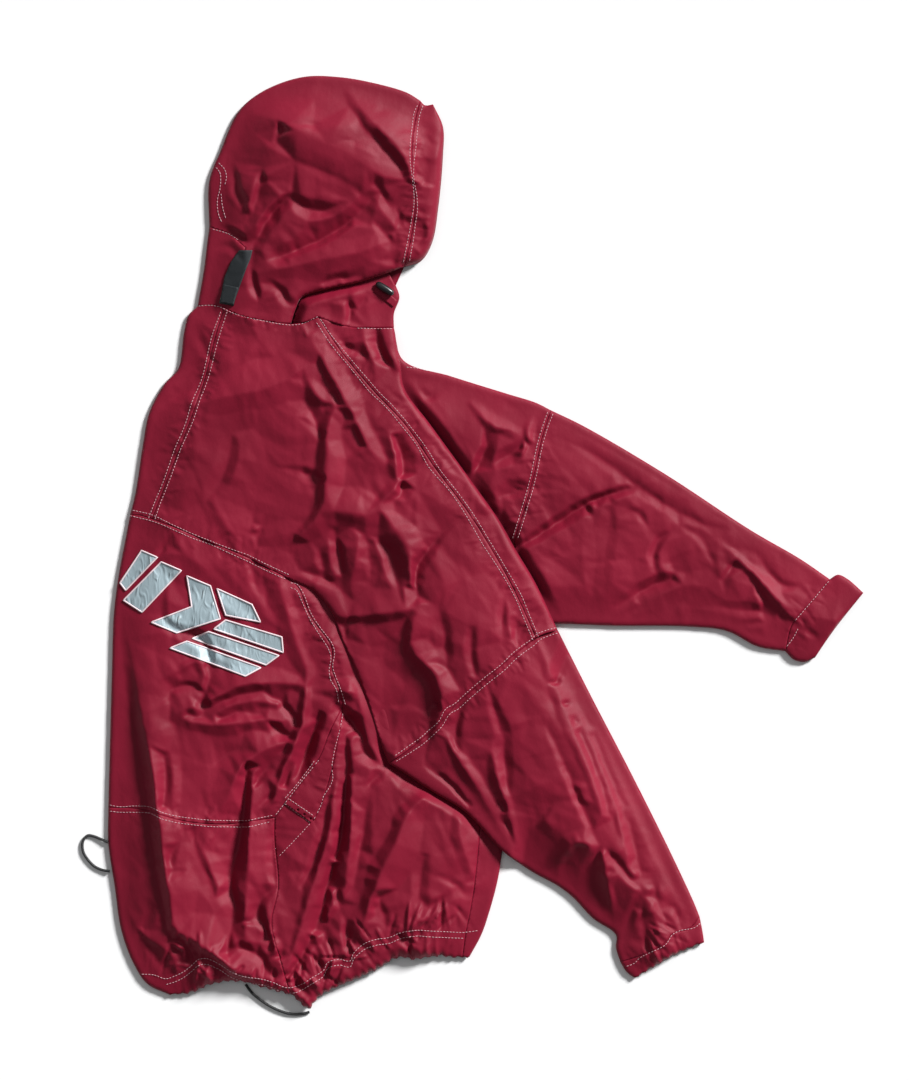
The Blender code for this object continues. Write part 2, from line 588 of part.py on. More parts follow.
def make_piece(name, material, top, top_height, bottom=(), bottom_height=None, folds=(),
               rims=(), floor_step=FLOOR_GRID):
    """A cut piece: its upper side, and a floor side joined to it along its folds."""
    loop, kinds = inset_loop(top, folds)
    extra = near_fold_points(list(folds) + list(rims)) + FOLD_POINTS
    plan, tris = fill(loop, GRID, extra)
    z = top_height(plan)
    normals = slope_normal(top_height, plan)
    normals[:len(loop)] = (0.0, 0.0, 1.0)     # walls stand upright along seams
    points = np.column_stack([plan, z])
    faces = [tuple(t) for t in tris]
    sides = [(points, normals)]
    if bottom:
        loop_b, kinds_b = inset_loop(bottom, folds)
        shared = {}
        fold_top = {i for pair in fold_vertices(kinds, folds) for i in pair}
        fold_bottom = sorted({i for pair in fold_vertices(kinds_b, folds) for i in pair})
        for i in fold_bottom:
            gaps = {j: np.linalg.norm(loop[j] - loop_b[i]) for j in fold_top}
            j = min(gaps, key=gaps.get)
            shared[i] = j
            loop_b[i] = loop[j]
        plan_b, tris_b = fill(loop_b, floor_step, near_fold_points(folds))
        base = bottom_height(plan_b)
        lift = FOLD_MIDDLE * (1.0 - quarter_round(distance_to(folds, plan_b) / FLOOR_RADIUS))
        remap = dict(shared)
        start = len(points)
        fresh = [i for i in range(len(plan_b)) if i not in shared]
        for k, i in enumerate(fresh):
            remap[i] = start + k
        points_b = np.column_stack([plan_b, base + lift])[fresh]
        down = np.tile([0.0, 0.0, -1.0], (len(fresh), 1))
        sides.append((points_b, down))
        for a, b, c in tris_b:
            faces.append((remap[a], remap[c], remap[b]))
        outward = outward_normals(loop)
        for i in fold_top:
            normals[i] = (*outward[i], 0.0)
    outer = np.vstack([s[0] for s in sides])
    away = np.vstack([s[1] for s in sides])
    inner = outer - away * WALL
    shift = len(outer)
    used = {}
    for face in faces:
        for a, b in zip(face, face[1:] + face[:1]):
            used[(a, b)] = True
    rim_faces = [(b, a, a + shift, b + shift) for a, b in used if (b, a) not in used]
    inside_faces = [tuple(v + shift for v in reversed(face)) for face in faces]
    return add_mesh(name, np.vstack([outer, inner]), faces + inside_faces + rim_faces, material)


def outward_normals(loop):
    before, after = np.roll(loop, 1, axis=0), np.roll(loop, -1, axis=0)
    e0, e1 = loop - before, after - loop
    n = np.stack([e0[:, 1], -e0[:, 0]], 1) / np.linalg.norm(e0, axis=1)[:, None]
    m = np.stack([e1[:, 1], -e1[:, 0]], 1) / np.linalg.norm(e1, axis=1)[:, None]
    total = n + m
    return total / np.linalg.norm(total, axis=1)[:, None]


# ---- the garment --------------------------------------------------------
SLEEVE_RIGHT = ["armhole_right_tail", "sleeve_right_outer", "sleeve_right_cuff", "sleeve_right_inner",
                "-armhole_right"]
CUFF_RIGHT = ["cuff_right_outer", "cuff_right_mouth", "cuff_right_inner", "-sleeve_right_cuff"]
SLEEVE_LEFT = ["sleeve_left_outer", "sleeve_left_cuff", "sleeve_left_inner", "-far_armhole"]
CUFF_LEFT = ["cuff_left_outer", "cuff_left_mouth", "cuff_left_inner", "-sleeve_left_cuff"]
HOOD_REAR = ["hood_rear_edge", "hood_seam_rear", "hood_seam_strap", "-neck_rear_left"]
HOOD_BRIM = ["brim_seam", "brim_crown", "brim_mouth"]
UNDER_EDGES = ["flap_side", "sleeve_right_inner"]

PIECES = [
    # name, upper outline, upper height, floor outline, floor height, folds, edges to follow, floor grid
    ("yoke_back_right",
     ["neck_rear_right", "neck_side", "shoulder_seam", "armhole_right", "flap_side", "-yoke_right",
      "-centre_back"],
     yoke_top, [], None, [], ["flap_side"], 0),
    ("shoulder_front_right",
     ["neck_front", "flap_front", "-armhole_right_tail", "-shoulder_seam"],
     yoke_top, [], None, [], ["flap_front"], 0),
    ("yoke_back_left",
     ["centre_back", "-yoke_left", "-back_fold_top", "neck_rear_left"],
     yoke_top,
     ["floor_yoke", "floor_yoke_front", "-shoulder_seam", "-neck_side", "-neck_rear_right",
      "-neck_rear_left", "back_fold_top"],
     floor, ["back_fold_top"], [], FLOOR_GRID),
    ("back_middle",
     ["yoke_left", "yoke_right", "side_seam", "-pocket_back", "pocket_tail", "-lower_back",
      "-back_fold_middle"],
     body_top, ["floor_yoke", "floor_side", "-floor_lower_back", "-back_fold_middle"],
     floor, ["back_fold_middle"], [], FLOOR_GRID),
    ("back_lower",
     ["lower_back", "side_low", "-hem_back", "-back_fold_low"],
     body_top, ["floor_lower_back", "floor_side_low", "-hem_back", "-back_fold_low"],
     floor, ["back_fold_low"], ["hem_back"], FLOOR_GRID),
    ("front_right",
     ["side_seam", "pocket_front", "pocket_end", "pocket_tail", "side_low", "hem_front", "front_seam",
      "front_hidden_top"],
     body_top, [], None, [], UNDER_EDGES + ["hem_front"], 0),
    ("front_left",
     ["hem_centre", "front_fold", "front_strip_top", "-front_seam"],
     body_top,
     ["hem_front", "hem_centre", "front_fold", "floor_underarm", "-floor_yoke_front", "floor_side",
      "floor_side_low"],
     floor, ["front_fold"], UNDER_EDGES, FLOOR_GRID),
    ("pocket_facing", ["pocket_front", "pocket_end", "pocket_back"],
     body_top, [], None, [], [], 0),
    ("shoulder_front_left",
     ["far_shoulder", "far_armhole", "far_hidden_body"],
     far_top, ["far_shoulder", "far_armhole", "far_corner", "-shoulder_seam", "neck_front"],
     floor, ["far_shoulder"], ["flap_front"], FLOOR_GRID),
    ("sleeve_right", SLEEVE_RIGHT, near_sleeve_top, SLEEVE_RIGHT, sleeve_rest,
     ["sleeve_right_outer", "sleeve_right_inner"], [], GRID),
    ("cuff_right", CUFF_RIGHT, near_sleeve_top, CUFF_RIGHT, sleeve_rest,
     ["cuff_right_outer", "cuff_right_inner"], ["cuff_right_mouth"], FLOOR_GRID),
    ("sleeve_left", SLEEVE_LEFT, far_top, SLEEVE_LEFT, floor,
     ["sleeve_left_outer", "sleeve_left_inner"], ["flap_front"], FLOOR_GRID),
    ("cuff_left", CUFF_LEFT, far_top, CUFF_LEFT, floor,
     ["cuff_left_outer", "cuff_left_inner"], [], FLOOR_GRID),
    ("hood_main",
     ["neck_rear_right", "hood_roll", "brim_seam", "-hood_crown", "hood_seam_rear", "hood_seam_strap"],
     hood_top,
     ["neck_rear_right", "-floor_collar", "-floor_hood_low", "brim_seam", "-hood_crown",
      "hood_seam_rear", "hood_seam_strap"],
     floor, ["hood_crown"], ["hood_roll"], FLOOR_GRID),
    ("hood_brim", HOOD_BRIM, hood_top, HOOD_BRIM, floor, ["brim_crown"], ["brim_mouth"], FLOOR_GRID),
    ("hood_rear", HOOD_REAR, hood_top, HOOD_REAR, floor, ["hood_rear_edge"], [], FLOOR_GRID),
    ("collar",
     ["neck_side", "neck_front", "-collar_front", "-collar_hidden", "-collar_root"],
     collar_top, ["neck_side", "neck_front", "-collar_front", "floor_collar"],
     floor, ["collar_front"], ["hood_roll"], FLOOR_GRID),
]

# Narrow or small pieces that lie on a panel.
APPLIQUE_ORIGIN = (-380, -22)      # upper corner by the centre-back fold
APPLIQUE_TURN = -23.0              # degrees, along the yoke seam
APPLIQUE = [
    # name, then corners as (along, up) from the origin
    ("applique_bar_1", [(-1, 12), (18, 12), (0, -35), (-9, -30)]),
    ("applique_bar_2", [(24, 9), (48, 9), (26, -50), (2, -46)]),
    ("applique_chevron", [(56, 6), (84, 6), (108, -23), (70, -56), (40, -56), (74, -23)]),
    ("applique_kite", [(92, 6), (134, 5), (150, -9), (112, -17)]),
    ("applique_stripe_1", [(114, -22), (178, -15), (186, -30), (106, -36)]),
    ("applique_stripe_2", [(102, -41), (183, -35), (174, -50), (88, -55)]),
    ("applique_stripe_3", [(84, -60), (170, -55), (158, -70), (70, -74)]),
]
APPLIQUE_THICK = 0.9
STRAP_OUTLINE = [(-291, 261), (-288, 274), (-285, 290), (-278, 306), (-269, 319), (-254, 319),
                 (-256, 310), (-262, 296), (-268, 280), (-273, 266), (-275, 258)]
STRAP_THICK = 1.3
TAB_THICK = 1.2
WELT_OUTLINE = [(-215, -282), (-186, -302), (-190, -309), (-219, -288)]
LOCK_TAB_OUTLINE = [(-121, 274), (-116, 281), (-95, 264), (-100, 257)]
REST_GAP = 0.35                # space under what lies on a panel
REST_REACH = 3.0               # a piece clears the panel's highest point this far around
LOCK_PLACE = (-109, 277)       # barrel of the cord lock
LOCK_TURN = -33.0
LOCK_LENGTH, LOCK_RADIUS = 22.0, 4.2
CORDS = {
    "hem_cord_left": [(-413.6, -331, 3.4), (-421, -328, 2.2), (-430, -324.5, 1.5), (-436, -324, 1.5),
                      (-441, -330, 1.5), (-441, -341, 1.5), (-436, -350, 1.5), (-428, -358, 1.5),
                      (-419, -362, 2.0), (-411.6, -363, 3.2)],
    "hem_cord_bottom": [(-262, -487.5, 2.6), (-256, -496, 1.8), (-248, -503, 1.5), (-238, -510, 1.5),
                        (-226, -516, 1.5), (-213, -520, 1.5), (-200, -520, 1.5), (-192, -518, 1.5)],
}


def resting_height(names):
    """Height of the highest point of the named pieces around each place."""
    trees = []
    for name in names:
        mesh = bpy.data.objects[name].data
        points = [v.co / MM for v in mesh.vertices]
        trees.append(BVHTree.FromPolygons(points, [tuple(p.vertices) for p in mesh.polygons]))
    ring = [(0, 0)] + [(REST_REACH * math.cos(a * math.pi / 4), REST_REACH * math.sin(a * math.pi / 4))
                       for a in range(8)]

    def height(xy):
        out = []
        for x, y in xy:
            hits = [tree.ray_cast(Vector((x + dx, y + dy, 200.0)), Vector((0, 0, -1)))[0]
                    for tree in trees for dx, dy in ring]
            out.append(max(hit.z for hit in hits if hit))
        return np.array(out)
    return height


def lay_on(name, outline, names, thick, material):
    """A flat trim piece whose underside follows the pieces beneath it."""
    edge = []
    for a, b in zip(outline, outline[1:] + outline[:1]):
        a, b = np.array(a, float), np.array(b, float)
        count = max(1, round(np.linalg.norm(b - a) / TRIM_STEP))
        edge.extend(a + (b - a) * i / count for i in range(count))
    plan, tris = fill(np.array(edge), TRIM_STEP)
    base = resting_height(names)(plan) + REST_GAP
    count = len(plan)
    points = np.vstack([np.column_stack([plan, base + thick]), np.column_stack([plan, base])])
    faces = [tuple(t) for t in tris] + [tuple(v + count for v in reversed(t)) for t in tris]
    used = {(a, b) for t in tris for a, b in zip(t, t[1:] + t[:1])}
    faces += [(b, a, a + count, b + count) for a, b in used if (b, a) not in used]
    return add_mesh(name, points, faces, material)


def make_applique():
    c, s = math.cos(math.radians(APPLIQUE_TURN)), math.sin(math.radians(APPLIQUE_TURN))
    for name, corners in APPLIQUE:
        outline = [(APPLIQUE_ORIGIN[0] + u * c - v * s, APPLIQUE_ORIGIN[1] + u * s + v * c)
                   for u, v in corners]
        area = sum(a[0] * b[1] - b[0] * a[1] for a, b in zip(outline, outline[1:] + outline[:1]))
        if area < 0:
            outline.reverse()
        lay_on(name, outline, ["back_middle"], APPLIQUE_THICK, "applique_silver")


def make_cord_lock():
    """A barrel with rounded ends, resting on the collar's tab."""
    rings, sides = 7, 12
    half = LOCK_LENGTH / 2
    z = resting_height(["collar", "cord_lock_tab"])(np.array([LOCK_PLACE], float))[0]
    z += LOCK_RADIUS + 1.5
    turn = math.radians(LOCK_TURN)
    points = [(-half, 0.0, 0.0)]
    for i in range(rings):
        along = -half * math.cos(math.pi * (i + 1) / (rings + 1))
        radius = LOCK_RADIUS * math.sin(math.pi * (i + 1) / (rings + 1)) ** 0.4
        for j in range(sides):
            a = 2 * math.pi * j / sides
            points.append((along, radius * math.cos(a), radius * math.sin(a)))
    points.append((half, 0.0, 0.0))
    faces = [(0, 1 + (j + 1) % sides, 1 + j) for j in range(sides)]
    for i in range(rings - 1):
        for j in range(sides):
            a, b = 1 + i * sides + j, 1 + i * sides + (j + 1) % sides
            faces.append((a, b, b + sides, a + sides))
    last = len(points) - 1
    faces += [(last, last - sides + j, last - sides + (j + 1) % sides) for j in range(sides)]
    placed = [(LOCK_PLACE[0] + x * math.cos(turn) - y * math.sin(turn),
               LOCK_PLACE[1] + x * math.sin(turn) + y * math.cos(turn), z + w) for x, y, w in points]
    return add_mesh("cord_lock", placed, faces, "plastic_black")


def make_cord(name, points):
    curve = bpy.data.curves.new(name, "CURVE")
    curve.dimensions = "3D"
    curve.bevel_depth = CORD_RADIUS * MM
    curve.bevel_resolution = 2
    curve.use_fill_caps = True
    spline = curve.splines.new("POLY")
    spline.points.add(len(points) - 1)
    for point, place in zip(spline.points, points):
        point.co = (*(value * MM for value in place), 1.0)
    material = make_material("cord_black")
    material.name = name + "_cord_black"
    curve.materials.append(material)
    obj = bpy.data.objects.new(name, curve)
    bpy.context.scene.collection.objects.link(obj)


def clear_scene():
    for obj in list(bpy.data.objects):
        bpy.data.objects.remove(obj, do_unlink=True)


def build():
    clear_scene()
    for name, top, height, bottom, base, folds, rims, floor_step in PIECES:
        make_piece(name, "nylon_red", top, height, bottom, base, folds, rims, floor_step)
    make_applique()
    lay_on("pocket_welt", WELT_OUTLINE[::-1], ["front_right", "pocket_facing", "back_middle"], TAB_THICK,
           "nylon_red")
    lay_on("hood_strap", STRAP_OUTLINE[::-1], ["hood_main", "hood_rear"], STRAP_THICK, "webbing_black")
    lay_on("cord_lock_tab", LOCK_TAB_OUTLINE[::-1], ["collar"], TAB_THICK, "nylon_red")
    make_cord_lock()
    for name, points in CORDS.items():
        make_cord(name, points)


build()
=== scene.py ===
"""Looks of the hooded anorak: cloth shells, sewing, trims, light and camera.

Plan view, back to the left, hood at the top, both sleeves to the right. Tables are in
millimetres in the part's own frame; the meshes are made in metres.
"""

import math

import bpy
import numpy as np
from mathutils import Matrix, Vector
from mathutils.bvhtree import BVHTree
from mathutils.geometry import delaunay_2d_cdt


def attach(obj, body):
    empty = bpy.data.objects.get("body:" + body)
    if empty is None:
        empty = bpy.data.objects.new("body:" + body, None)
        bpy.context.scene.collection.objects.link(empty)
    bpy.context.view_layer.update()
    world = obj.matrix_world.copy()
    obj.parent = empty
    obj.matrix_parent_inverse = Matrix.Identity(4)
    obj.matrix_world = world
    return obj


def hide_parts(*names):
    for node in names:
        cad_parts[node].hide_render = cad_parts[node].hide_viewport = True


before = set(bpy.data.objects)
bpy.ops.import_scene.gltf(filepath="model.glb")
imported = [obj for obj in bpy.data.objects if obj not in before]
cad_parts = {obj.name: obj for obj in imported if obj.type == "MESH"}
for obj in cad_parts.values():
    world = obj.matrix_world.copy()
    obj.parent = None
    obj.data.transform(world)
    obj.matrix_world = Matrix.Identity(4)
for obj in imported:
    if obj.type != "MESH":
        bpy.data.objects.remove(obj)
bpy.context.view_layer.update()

MM = 0.001                    # metres in a millimetre


# ---- sizes (mm) -----------------------------------------------------------
FABRIC = 0.5                  # shown thickness of the cloth
GRID = 1.9                    # spacing of points on the upper side
FLOOR_GRID = 5.0              # spacing of points on the floor side
OUTLINE_STEP = 2.6            # spacing of points along edges
SEAM_GAP = 0.14               # space between neighbouring pieces
PUFF = 16.0                   # usual height of the upper side
CALM_LEVEL, SPARE = 26.0, 7.0   # rises above this level are held within the second figure
HIDDEN_LEVEL = 6.5            # height of a lower sheet under an upper one
TUCKED_LEVEL = 14.0           # the same just under the side of the yoke
YOKE_LIFT = 4.6               # how much higher that side lies than other free edges
LOWEST = 1.6                  # least height of an upper side above its floor side
FLAP_EDGE = 11.0              # height of an upper sheet's free edge
FOLD_MIDDLE = 3.4             # widest point of a rounded fold, above its floor
FOLD_RADIUS = 6.5             # the rounding of a folded edge
FOLD_LEVEL = 5.8              # height of the upper side just inside that rounding
FOLD_REACH = 60.0             # how far in the upper side reaches its full height
FLOOR_RADIUS = 7.0            # the rounding of a folded edge on the floor side
MOUTH_EDGE = 4.6              # height of the upper side at an open edge
MOUTH_RADIUS = 13.0           # the rounding of an open edge
FLAP_RADIUS = 9.0             # the rounding of a free edge
TUCK_START, TUCK_END = -13.0, 1.0   # where a lower sheet sinks before an edge
SLEEVE_REST = 9.0             # floor side of the right sleeve where it lies on the body
REST_START, REST_END = -26.0, -7.0  # where it comes down, outside the body's edge
SIDE_FAR, SIDE_NEAR = 34.0, 10.0    # how far from the yoke's side its extra height fades out
SLEEVE_NEAR, SLEEVE_FAR = 6.0, 38.0  # how that height fades in away from the sleeve
HOLLOW_SHARE = 0.7            # how much of the body's hollows shows in its tucked strip
FAR_DROP = 3.0                # how much lower the far side's cloth lies
CORD_RADIUS = 1.5


# ---- edges and seams in plan: points are x, y ---------------------------
EDGES = {
    # silhouette of the body, from the rear of the neck down the back and round the hem
    "back_fold_top": [(-315, 258), (-325, 248), (-330, 228), (-336, 190), (-351, 173), (-368, 141),
        (-375, 106), (-383, 54), (-389, 29)],
    "back_fold_middle": [(-389, 29), (-395, -2), (-402, -40), (-407, -80), (-409, -140), (-411, -215),
        (-413, -293)],
    "back_fold_low": [(-413, -293), (-413, -332), (-406, -380), (-399, -427), (-386, -463), (-370, -487),
        (-345, -499)],
    "hem_back": [(-345, -499), (-318, -495), (-301, -487), (-281, -483), (-262, -485), (-240, -491),
        (-213, -498)],
    "hem_front": [(-213, -498), (-193, -513), (-181, -500), (-161, -490), (-121, -472), (-92, -457),
        (-77, -460), (-54, -456), (-24, -458)],
    "hem_centre": [(-24, -458), (-16, -457)],
    "front_fold": [(-16, -457), (-3, -433), (6, -407), (15, -373), (20, -342), (29, -290), (38, -235),
        (50, -175), (64, -130), (78, -96)],
    "front_seam": [(-24, -458), (-20, -430), (-14, -400), (-9, -365), (-5, -325), (2, -270), (12, -210),
        (24, -150), (40, -112)],
    # seams of the body
    "neck_rear_left": [(-315, 258), (-300, 259), (-286, 256)],
    "neck_rear_right": [(-286, 256), (-270, 248), (-240, 241), (-212, 238)],
    "neck_side": [(-212, 238), (-197, 240), (-182, 246)],
    "neck_front": [(-182, 246), (-160, 238), (-140, 234), (-99, 234)],
    "centre_back": [(-286, 256), (-296, 222), (-307, 178), (-324, 129), (-348, 68), (-365, 24)],
    "yoke_left": [(-389, 29), (-378, 28), (-365, 24)],
    "yoke_right": [(-365, 24), (-340, 15), (-300, -2), (-260, -18), (-237, -30), (-213, -42)],
    "side_seam": [(-213, -42), (-204, -51), (-191, -82), (-168, -116), (-167, -141), (-159, -163),
        (-155, -183)],
    "pocket_front": [(-155, -183), (-158, -206), (-167, -249), (-176, -281), (-187, -307)],
    "pocket_end": [(-187, -307), (-217, -286)],
    "pocket_back": [(-217, -286), (-199, -263), (-181, -238), (-168, -206), (-155, -183)],
    "pocket_tail": [(-217, -286), (-230, -304)],
    "lower_back": [(-413, -293), (-382, -294), (-358, -299), (-325, -308), (-280, -311), (-254, -307),
        (-230, -304)],
    "side_low": [(-230, -304), (-230, -330), (-226, -380), (-233, -420), (-222, -465), (-213, -498)],
    "shoulder_seam": [(-182, 246), (-158, 209), (-120, 163), (-87, 128), (-54, 80), (-16, 29), (19, -28),
        (47, -84), (56, -106)],
    "armhole_right_tail": [(56, -106), (68, -101), (81, -98)],
    "armhole_right": [(56, -106), (41, -118), (1, -152), (-31, -180), (-48, -200), (-78, -225),
        (-105, -244)],
    # free edges of the upper sheet
    "flap_side": [(-105, -244), (-111, -229), (-122, -191), (-137, -151), (-156, -107), (-168, -78),
        (-188, -54), (-213, -42)],
    "flap_front": [(-99, 234), (-92, 196), (-87, 167), (-59, 128), (-19, 73), (17, 22), (34, -8), (57, -47),
        (81, -98)],
    # far shoulder and far armhole
    "far_shoulder": [(-99, 234), (-89, 199), (-36, 181), (25, 162), (57, 152), (73, 144)],
    "far_armhole": [(73, 144), (63, 112), (55, 75), (44, 35), (33, -4), (40, -35), (54, -70), (66, -92)],
    "far_hidden_body": [(66, -92), (4, -62), (-60, 20), (-110, 110), (-140, 190), (-99, 234)],
    "far_corner": [(66, -92), (56, -106)],
    # floor-side seams, plain copies of the near side's
    "floor_yoke": [(-389, 29), (-300, -2), (-213, -42)],
    "floor_yoke_front": [(-213, -42), (-80, -85), (56, -106)],
    "floor_side": [(-213, -42), (-195, -170), (-222, -300)],
    "floor_side_low": [(-222, -300), (-218, -400), (-213, -498)],
    "floor_lower_back": [(-413, -293), (-320, -304), (-222, -300)],
    # hidden edges of the sheets that run on under the upper one
    "front_hidden_top": [(40, -112), (-10, -75), (-80, -45), (-150, -35), (-213, -42)],
    "front_strip_top": [(78, -96), (58, -102), (40, -112)],
    "floor_underarm": [(78, -96), (68, -99), (56, -106)],
    # near sleeve
    "sleeve_right_outer": [(81, -98), (120, -175), (159, -250), (202, -336), (231, -398), (237, -413)],
    "sleeve_right_cuff": [(237, -413), (225, -426), (208, -431), (196, -443), (176, -454), (150, -463)],
    "sleeve_right_inner": [(150, -463), (145, -447), (145, -433), (120, -415), (97, -391), (81, -379),
        (52, -363), (20, -340), (-20, -298), (-60, -273), (-90, -253), (-105, -244)],
    "cuff_right_outer": [(237, -413), (240, -428), (242, -441)],
    "cuff_right_mouth": [(242, -441), (219, -450), (198, -461), (165, -480)],
    "cuff_right_inner": [(165, -480), (157, -474), (150, -463)],
    # far sleeve
    "sleeve_left_outer": [(73, 144), (110, 126), (200, 73), (293, 12), (348, -20), (380, -42)],
    "sleeve_left_cuff": [(380, -42), (361, -65), (339, -90), (331, -121)],
    "sleeve_left_inner": [(331, -121), (301, -116), (267, -99), (224, -94), (140, -93), (81, -91),
        (66, -92)],
    "cuff_left_outer": [(380, -42), (389, -37), (400, -42), (417, -57)],
    "cuff_left_mouth": [(417, -57), (389, -92), (376, -110), (364, -128)],
    "cuff_left_inner": [(364, -128), (352, -133), (340, -130), (331, -121)],
    # hood
    "hood_rear_edge": [(-315, 258), (-308, 298), (-305, 322), (-302, 345)],
    "hood_crown": [(-302, 345), (-302, 396), (-290, 428), (-270, 472), (-244, 494), (-200, 510),
        (-159, 510), (-119, 503), (-85, 493), (-70, 484)],
    "hood_seam_rear": [(-302, 345), (-280, 337), (-262, 322)],
    "hood_seam_strap": [(-262, 322), (-270, 295), (-279, 270), (-286, 256)],
    "hood_roll": [(-212, 238), (-207, 254), (-200, 267), (-169, 277), (-137, 284), (-109, 293), (-88, 301)],
    "brim_seam": [(-88, 301), (-80, 335), (-76, 368), (-79, 405), (-78, 445), (-74, 470), (-70, 484)],
    "brim_crown": [(-70, 484), (-65, 479), (-56, 480)],
    "brim_mouth": [(-56, 480), (-45, 455), (-45, 424), (-50, 368), (-57, 328), (-69, 308), (-88, 301)],
    "collar_hidden": [(-207, 254), (-190, 290), (-150, 306), (-112, 302), (-97, 281)],
    "collar_root": [(-212, 238), (-207, 254)],
    "collar_front": [(-97, 281), (-93, 268), (-99, 250), (-99, 234)],
    "floor_collar": [(-97, 281), (-140, 270), (-212, 238)],
    "floor_hood_low": [(-88, 301), (-97, 281)],
}

# Broad rises and hollows of the upper side.
MOUNDS = [
    # x, y, radius along, radius across, turn (degrees), height
    (-180, 400, 130, 95, 0, 11.0),
    (-150, 90, 150, 110, -50, 7.0),
    (-30, -90, 130, 70, -50, 9.0),
    (100, -270, 170, 60, -60, 9.0),
    (-330, -380, 110, 60, -75, 4.5),
    (-80, -370, 100, 60, -70, 3.0),
    (170, 20, 160, 60, -25, -1.5),
    (-150, 250, 60, 30, 0, -3.0),
    (-300, -150, 120, 70, -85, -1.5),
]

